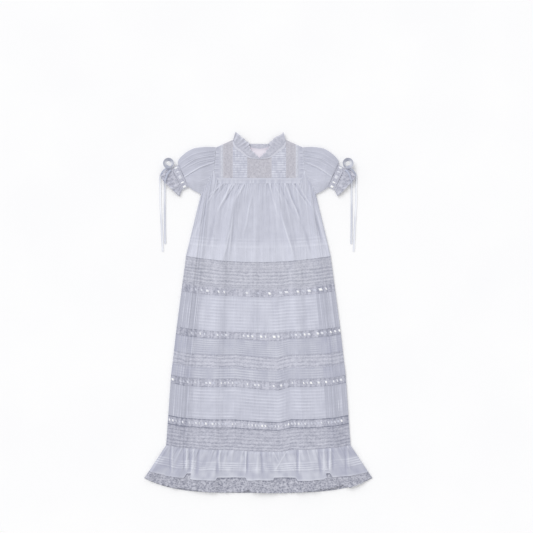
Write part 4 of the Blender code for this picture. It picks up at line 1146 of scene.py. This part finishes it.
def yoke_band():
    """The plain band along the foot of the yoke, with a ridge near its upper seam."""
    s, y = np.meshgrid(np.linspace(-1, 1, 150), np.linspace(YOKE_PANELS - GAP / 2, YOKE_SEAM + GAP / 2, 12))
    x = s * (look_up(YOKE_SIDE, y) - GAP / 2)
    above = YOKE_PANELS - y
    puckered = sway("yoke_band", x) * smooth(above / 9.0)
    top = FACE + 0.4 + 0.5 * bump(above - 2.5, 1.8) + 0.35 * puckered + 0.5 * rise_from(above, 8, 4.0)
    # painted highlight on the ridge and over the puckers' swells
    shade = 0.05 + 0.25 * bump(above - 2.5, 2.0) + 0.3 * puckered
    piece = shell("yoke_band_cloth", x, y, top, x, above, YOKE_BATISTE, shade)


def yoke():
    """The front yoke, piece by piece as it is sewn."""
    for side, word in SIDES:
        yoke_tucks(side, word)
        yoke_strips(side, word)
        yoke_side(side, word)
    centre_lace()
    yoke_band()


def back_yoke():
    """The plain back of the yoke, whose inside shows in the neck opening."""
    s, t = grid(61, 21, -1)
    away = np.abs(s) * SHOULDER_TO
    top_edge = np.where(away < SHOULDER[0][0], look_up(BACK_NECK, away), look_up(SHOULDER, away))
    y = mix(top_edge, YOKE_SEAM + GAP / 2, t)
    x = s * (look_up(YOKE_SIDE, mix(SHOULDER[1][1], YOKE_SEAM, t)) - GAP / 2)
    top = WALL + 0.2 * bump(t, 0.04) + 0.9 * fall_to(away, 32, 10.0) * rise_from(y, 345.0, 8.0)
    # painted light on the inside where the neck opening shows it
    shown = fall_to(away, 26.0, 12.0) * fall_to(y, 378.0, 8.0)
    piece = shell("back_yoke_cloth", x, y, top, x, top_edge - y, INSIDE, 0.8 * shown, thick=WALL)
    back_ruffle()


def back_ruffle():
    """The frilled lace behind the neck."""
    x, t = np.meshgrid(np.linspace(-BACK_RUFFLE_HALF, BACK_RUFFLE_HALF, 81), np.linspace(0, 1, 12))
    near = look_up(BACK_NECK, np.abs(x)) + GAP
    far = BACK_NECK_EDGE + BACK_RUFFLE_RISE * rise_from(np.abs(x), 18.0, 30.0)
    top = WALL + 0.3 + 0.5 * np.abs(np.sin(x / 2.6)) * (1 - 0.6 * t)
    piece = shell("neck_ruffle_back_cloth", x, mix(far, near, t), top, x, 20 * t, LACE_FRILL)


def neck_ruffles():
    """The two halves of the frilled lace round the front of the neck, bound along their seam."""
    for side, word in SIDES:
        along, across = grid(97, 17)
        near = through(NECK_SEAM, along) - (0.0, BINDING / 2)
        far = through(NECK_EDGE, along)
        uneven = 1.0 - 0.08 * (1 + sway("neck_edge", along, side))
        flat = mix(near, far, (across * uneven)[..., None])
        run = across
        if side > 0:
            flat, run = flat[::-1], across[::-1]
        frill = np.cos(2 * np.pi * NECK_WAVES * along)
        wave = frill + 0.6 * sway("neck", along)
        top = FACE + 0.9 + (1.6 * np.sin(np.pi * 0.6 * run) + (1.0 + wave) * run) * (1 - 0.75 * along)
        bound = 0.8 * fall_to(run, 0.17, 0.05) - 0.15 * bump(run - 0.25, 0.1)
        # painted highlights on the crests of the frill's waves and painted shade in their troughs; the
        # binding is lighter with a faint darker line beside it, and the outer edge lighter
        shade = bound + 0.35 * rise_from(run, 0.86, 0.08) + 0.15 * frill * run * (1 - along)
        piece = shell(f"neck_ruffle_{word}_cloth", side * (flat[..., 0] + GAP), flat[..., 1], top,
                      along * 80, run * 16, LACE_FRILL, shade)


def armhole(share):
    """Points on the sleeve's side of the armhole seam, straight between its corners."""
    corners = np.asarray(ARMHOLE, float)
    lengths = np.concatenate(([0.0], np.cumsum(np.hypot(*np.diff(corners, axis=0).T))))
    at = np.clip(share, 0, 1) * lengths[-1]
    x = np.interp(at, lengths, corners[:, 0]) + SLEEVE_HEAD_GAP
    return np.stack((x, np.interp(at, lengths, corners[:, 1])), axis=-1)


def patch(head, foot, upper, lower, u, t):
    """Points inside four outlines: u from the upper to the lower, t from the head to the foot."""
    a = armhole(u) if head is ARMHOLE else through(head, u)
    u = u[..., None]
    b = through(foot, u[..., 0])
    c = through(upper, t)
    d = through(lower, t)
    t = t[..., None]
    p, q, r, w = (np.asarray(corner, float) for corner in (upper[0], lower[0], upper[-1], lower[-1]))
    return mix(a, b, t) + mix(c, d, u) - mix(mix(p, q, u), mix(r, w, u), t)


def ring_faces(shape, side):
    """Faces of an open ring of cloth, with an outer wall and then an inner one, on either side."""
    count = shape[0] * shape[1]
    index = np.arange(count).reshape(shape)
    beside = np.roll(index, -1, axis=1)
    outer = np.stack((index[:-1], index[1:], beside[1:], beside[:-1]), axis=-1).reshape(-1, 4)
    head = np.stack((index[0], beside[0], beside[0] + count, index[0] + count), axis=-1)
    foot = np.stack((beside[-1], index[-1], index[-1] + count, beside[-1] + count), axis=-1)
    faces = np.concatenate((outer, outer[:, ::-1] + count, head, foot))
    return faces[:, ::-1] if side > 0 else faces


def tube(name, side, outlines, height, counts, sizes, stuff, double_and_painted_light=None):
    """An open tube of cloth, flat underneath and puffed above, as an outer and an inner wall."""
    columns, rows = counts
    u = np.concatenate((np.linspace(0, 1, columns), np.linspace(1, 0, columns // 3)[1:-1]))
    above = np.arange(len(u)) < columns
    u, t = np.meshgrid(u, np.linspace(0, 1, rows))
    walls = []
    for inset in (0.0, stuff[2]):
        margin = inset / CUFF_LONG
        flat = patch(*outlines, mix(margin, 1 - margin, u), t)
        z = np.where(above, height(u, t) - inset, inset)
        walls.append(np.concatenate((flat, z[..., None]), axis=-1).reshape(-1, 3))
    points = np.concatenate(walls) * (side, 1, 1)
    faces = ring_faces(u.shape, side)
    cloth = np.stack((u * sizes[0], t * sizes[1]), axis=-1).reshape(-1, 2)
    shade = double_and_painted_light(u, t).ravel() if double_and_painted_light else np.zeros(u.size)
    return make_piece(name, points, faces, cloth, shade, stuff)


def puff(u):
    """A round rise from both sides of a tube, 0 on its underside."""
    return np.where((u > 0) & (u < 1), np.sin(np.pi * np.clip(u, 0, 1)), 0.0)


def sleeve_folds(u, t):
    """The long folds that fan out from the armhole, and the short gathers there and at the cuff."""
    folds = 0.0 * u
    for number, (at_head, at_end, reach, half, high) in enumerate(SLEEVE_FOLDS):
        line = mix(at_head, at_end, t) + FOLD_SAG * t * (1 - t)
        line = line + 0.012 * waves(3.0 * t + 9 * number + 20, 105)
        folds = folds + high * bump(u - line, half * mix(0.7, 1.5, t)) * fall_to(t, reach, 0.35)
    head = small_folds("sleeve_head", u) * np.exp(-9 * t)
    return folds, head, small_folds("sleeve_cuff", u) * np.exp(-7 * (1 - t))


def sleeve_height(u, t):
    """Height of the sleeve's upper side, which rises from the armhole to its crown."""
    body = np.minimum(puff(u) / 0.7, 1.0) ** 0.8
    head = smooth((t + 0.02) / 0.3)
    crown = PUFF_SHARE * look_up(SLEEVE_CROWN, t) * head
    folds, short, cuff = sleeve_folds(u, t)
    relief = 0.9 * folds + 1.0 * short + 1.2 * cuff
    return mix(HEAD_SIDE, SLEEVE_SIDE, head) + crown * body + relief * smooth(puff(u) / 0.3)


def sleeve_painted_light(u, t):
    """Painted light of the sleeve: painted highlights on its folds and along the armhole, painted
    shade towards its upper outline.
    """
    folds, short, cuff = sleeve_folds(u, t)
    upper = 0.34 * fall_to(u, 0.55, 0.3)
    return 0.05 + 0.46 * folds + 0.36 * short + 0.4 * cuff + 0.35 * bump(t, 0.03) - upper


def cuff_height(u, t):
    """Height of the cuff's upper side, with its two sewn edges."""
    return SLEEVE_SIDE + 3.2 * puff(u) + 0.3 * bump(t - 0.1, 0.1) + 0.3 * bump(t - 0.9, 0.1)


def cuff_lace_height(u, t):
    """Height of the cuff's lace, whose waves grow to its edge."""
    wave = 0.5 + 0.5 * np.cos(2 * np.pi * (7 * u + 0.06 * np.sin(9 * u)))
    return SLEEVE_SIDE + (2.0 + 3.0 * wave * t + 0.5 * sway("cuff_lace", u)) * puff(u) ** 0.5


def cuff_ribbon(side, word, outlines):
    """The ribbon threaded through the cuff's beading."""
    reach = RIBBON_HALF / CUFF_WIDE
    u, t = np.meshgrid(np.linspace(0.03, 0.97, 50), np.linspace(0.5 - reach, 0.5 + reach, 7))
    flat = patch(*outlines, u, t)
    off = np.abs(t - 0.5) * CUFF_WIDE
    over = mix(0.3, 1.0, threaded(u * 5.0 + 2, 131, 0.0)) * fall_to(off, RIBBON_HALF, 1.6)
    top = cuff_height(u, t) - 1.0 + RIBBON_RISE * over
    # painted highlights where the ribbon comes up, painted shade where it dips
    parts = (side * flat[..., 0], flat[..., 1], top, u * CUFF_LONG, t * CUFF_WIDE, 1.1 * over**2)
    x, y, top, along, across, shade = (np.rot90(part, 1 if side < 0 else -1) for part in parts)
    shell(f"cuff_ribbon_{word}_satin", x, y, top, along, across, RIBBON_SATIN, shade)


def sleeves():
    """Each puffed sleeve with its beading cuff, the ribbon in it and the lace round its edge."""
    for side, word in SIDES:
        outlines = (ARMHOLE, SLEEVE_CUFF, SLEEVE_UPPER, SLEEVE_LOWER)
        piece = tube(f"sleeve_{word}_cloth", side, outlines, sleeve_height, (111, 66), (110, 75), BATISTE,
                     sleeve_painted_light)
        cuff = tuple(mix(np.array(p), np.array(q), GAP / CUFF_WIDE) for p, q in zip(SLEEVE_CUFF, CUFF_END))
        outlines = (cuff, CUFF_END, (cuff[0], CUFF_END[0]), (cuff[1], CUFF_END[1]))
        piece = tube(f"cuff_beading_{word}_cloth", side, outlines, cuff_height, (56, 15),
                     (CUFF_LONG, CUFF_WIDE), BEADING)
        cuff_ribbon(side, word, outlines)
        outlines = (CUFF_LACE_START, CUFF_LACE_EDGE, CUFF_LACE_UPPER, CUFF_LACE_LOWER)
        piece = tube(f"cuff_lace_{word}_cloth", side, outlines, cuff_lace_height, (85, 20), (70, 20),
                     LACE_CUFF)


def bow_loop(side, word):
    """A loop of ribbon on its edge, leaning out, tied to the cuff at the knot."""
    angle, across = np.meshgrid(np.linspace(0, 2 * np.pi, 73)[:-1], np.linspace(-1, 1, 9))
    knot = bump((angle - BOW_KNOT + np.pi) % (2 * np.pi) - np.pi, 0.75)
    half_width = BOW_RIBBON / 2 * (1 - 0.15 * knot)
    walls = []
    for out in (1, -1):
        half_wall = 0.3 + 2.0 * knot
        radius = BOW_RADIUS + BOW_KNOT_REACH * knot + out * half_wall + LOOP_LEAN * across * (1 - knot)
        x = BOW_CENTRE[0] - radius * np.cos(angle)
        y = BOW_CENTRE[1] + radius * np.sin(angle)
        z = mix(BOW_LIFT[1], BOW_LIFT[0], knot) + across * half_width
        walls.append(np.stack((side * x, y, z), axis=-1).reshape(-1, 3))
    faces = ring_faces(angle.shape, side)
    cloth = np.stack((angle * BOW_RADIUS, across * 2), axis=-1).reshape(-1, 2)
    # painted highlight on the inner face, strongest in two places round the ring, and painted shade on the
    # outer wall that changes round it
    inner_painted_highlight = 0.5 + 0.5 * np.cos(2 * angle + 0.6)
    outer_painted_shade = 0.35 + 0.35 * np.cos(angle - 2.4) + 0 * across
    shade = np.concatenate((outer_painted_shade.ravel(), (0.1 + 0.7 * inner_painted_highlight * (1 - across) / 2).ravel()))
    make_piece(f"bow_loop_{word}_satin", np.concatenate(walls), faces, cloth, shade, BOW_SATIN)


def bow_tail(side, word, which, route, length):
    """A narrow ribbon end that falls from the knot over the cuff lace and lies on the surface."""
    stops = through(route, np.linspace(0, 1, TAIL_STOPS))
    stops[:, 2] = np.maximum(stops[:, 2], TAIL_LYING)
    ahead = np.gradient(stops[:, :2], axis=0)
    ahead = ahead / np.hypot(*ahead.T)[:, None]
    share = np.linspace(-1, 1, 7)
    x = stops[:, 0, None] - ahead[:, 1, None] * share * TAIL_WIDE / 2
    y = stops[:, 1, None] + ahead[:, 0, None] * share * TAIL_WIDE / 2
    z = stops[:, 2, None] + 0.25 - 0.2 * share**2
    run = np.linspace(0, length, TAIL_STOPS)[:, None]
    if side > 0:
        x, y, z = (part[:, ::-1] for part in (x, y, z))
    fall = run / length
    # painted shade: darker at the edges and to one side, and at the start, where the tail lies in the shade
    # of the cuff
    lit = TAIL_TONE[which] - 0.3 * share**2 - 0.15 * share + 0.15 * sway("tail", fall)
    shade = mix(lit, SHADED, fall_to(fall, TAIL_CLEAR[which], 0.06))
    piece = shell(f"bow_tail_{which}_{word}_satin", side * x, y, z, 0 * x + run, 0 * x + share * 2,
                  TAIL_SATIN, shade, thick=TAIL_THICK)
    path = stops * (side, 1, 1)
    path = np.stack((drift(path[:, 0], path[:, 1]), path[:, 1] - MIDDLE, path[:, 2]), axis=1) * MM


def bows():
    """The ribbon tied at each cuff: two ends and a loop."""
    for side, word in SIDES:
        for which, route, length in TAILS:
            bow_tail(side, word, which, route, length)
        bow_loop(side, word)


def floor():
    """The painted board under the gown."""
    mesh = bpy.data.meshes.new("table_top")
    b = BOARD_HALF
    mesh.from_pydata([(-b, -b, 0), (b, -b, 0), (b, b, 0), (-b, b, 0)], [], [(0, 1, 2, 3)])
    mesh.materials.append(painted_board())
    board = bpy.data.objects.new("table_top", mesh)
    bpy.context.scene.collection.objects.link(board)
    board.location.z = -BOARD_UNDER


def studio():
    """Soft even light from all round, and a wide lamp high on the left behind the neck."""
    world = bpy.data.worlds.new("studio_room")
    bpy.context.scene.world = world
    world.use_nodes = True
    sky = world.node_tree.nodes["Background"]
    sky.inputs["Color"].default_value = linear("#ffffff")
    sky.inputs["Strength"].default_value = ROOM_LIGHT
    light = bpy.data.lights.new("wide_lamp", "SUN")
    light.angle = LAMP_SPREAD
    light.energy = LAMP_LIGHT
    holder = bpy.data.objects.new("wide_lamp", light)
    bpy.context.scene.collection.objects.link(holder)
    holder.location = LAMP_FROM
    holder.rotation_euler = (-holder.location).to_track_quat("-Z", "Y").to_euler()
    bpy.context.scene.view_settings.view_transform = "Standard"


def overhead_camera():
    """A camera 2.5 m above the gown that looks straight down."""
    lens = bpy.data.cameras.new("overhead_camera")
    lens.sensor_width = 36.0
    lens.lens = lens.sensor_width * EYE[2] / TABLE_SEEN
    eye = bpy.data.objects.new("overhead_camera", lens)
    bpy.context.scene.collection.objects.link(eye)
    eye.location = EYE
    bpy.context.scene.camera = eye


overhead_camera()
bows()
back_pieces()
back_yoke()
upper_skirt()
skirt_bands()
ruffle()
yoke()
neck_ruffles()
sleeves()
floor()
studio()
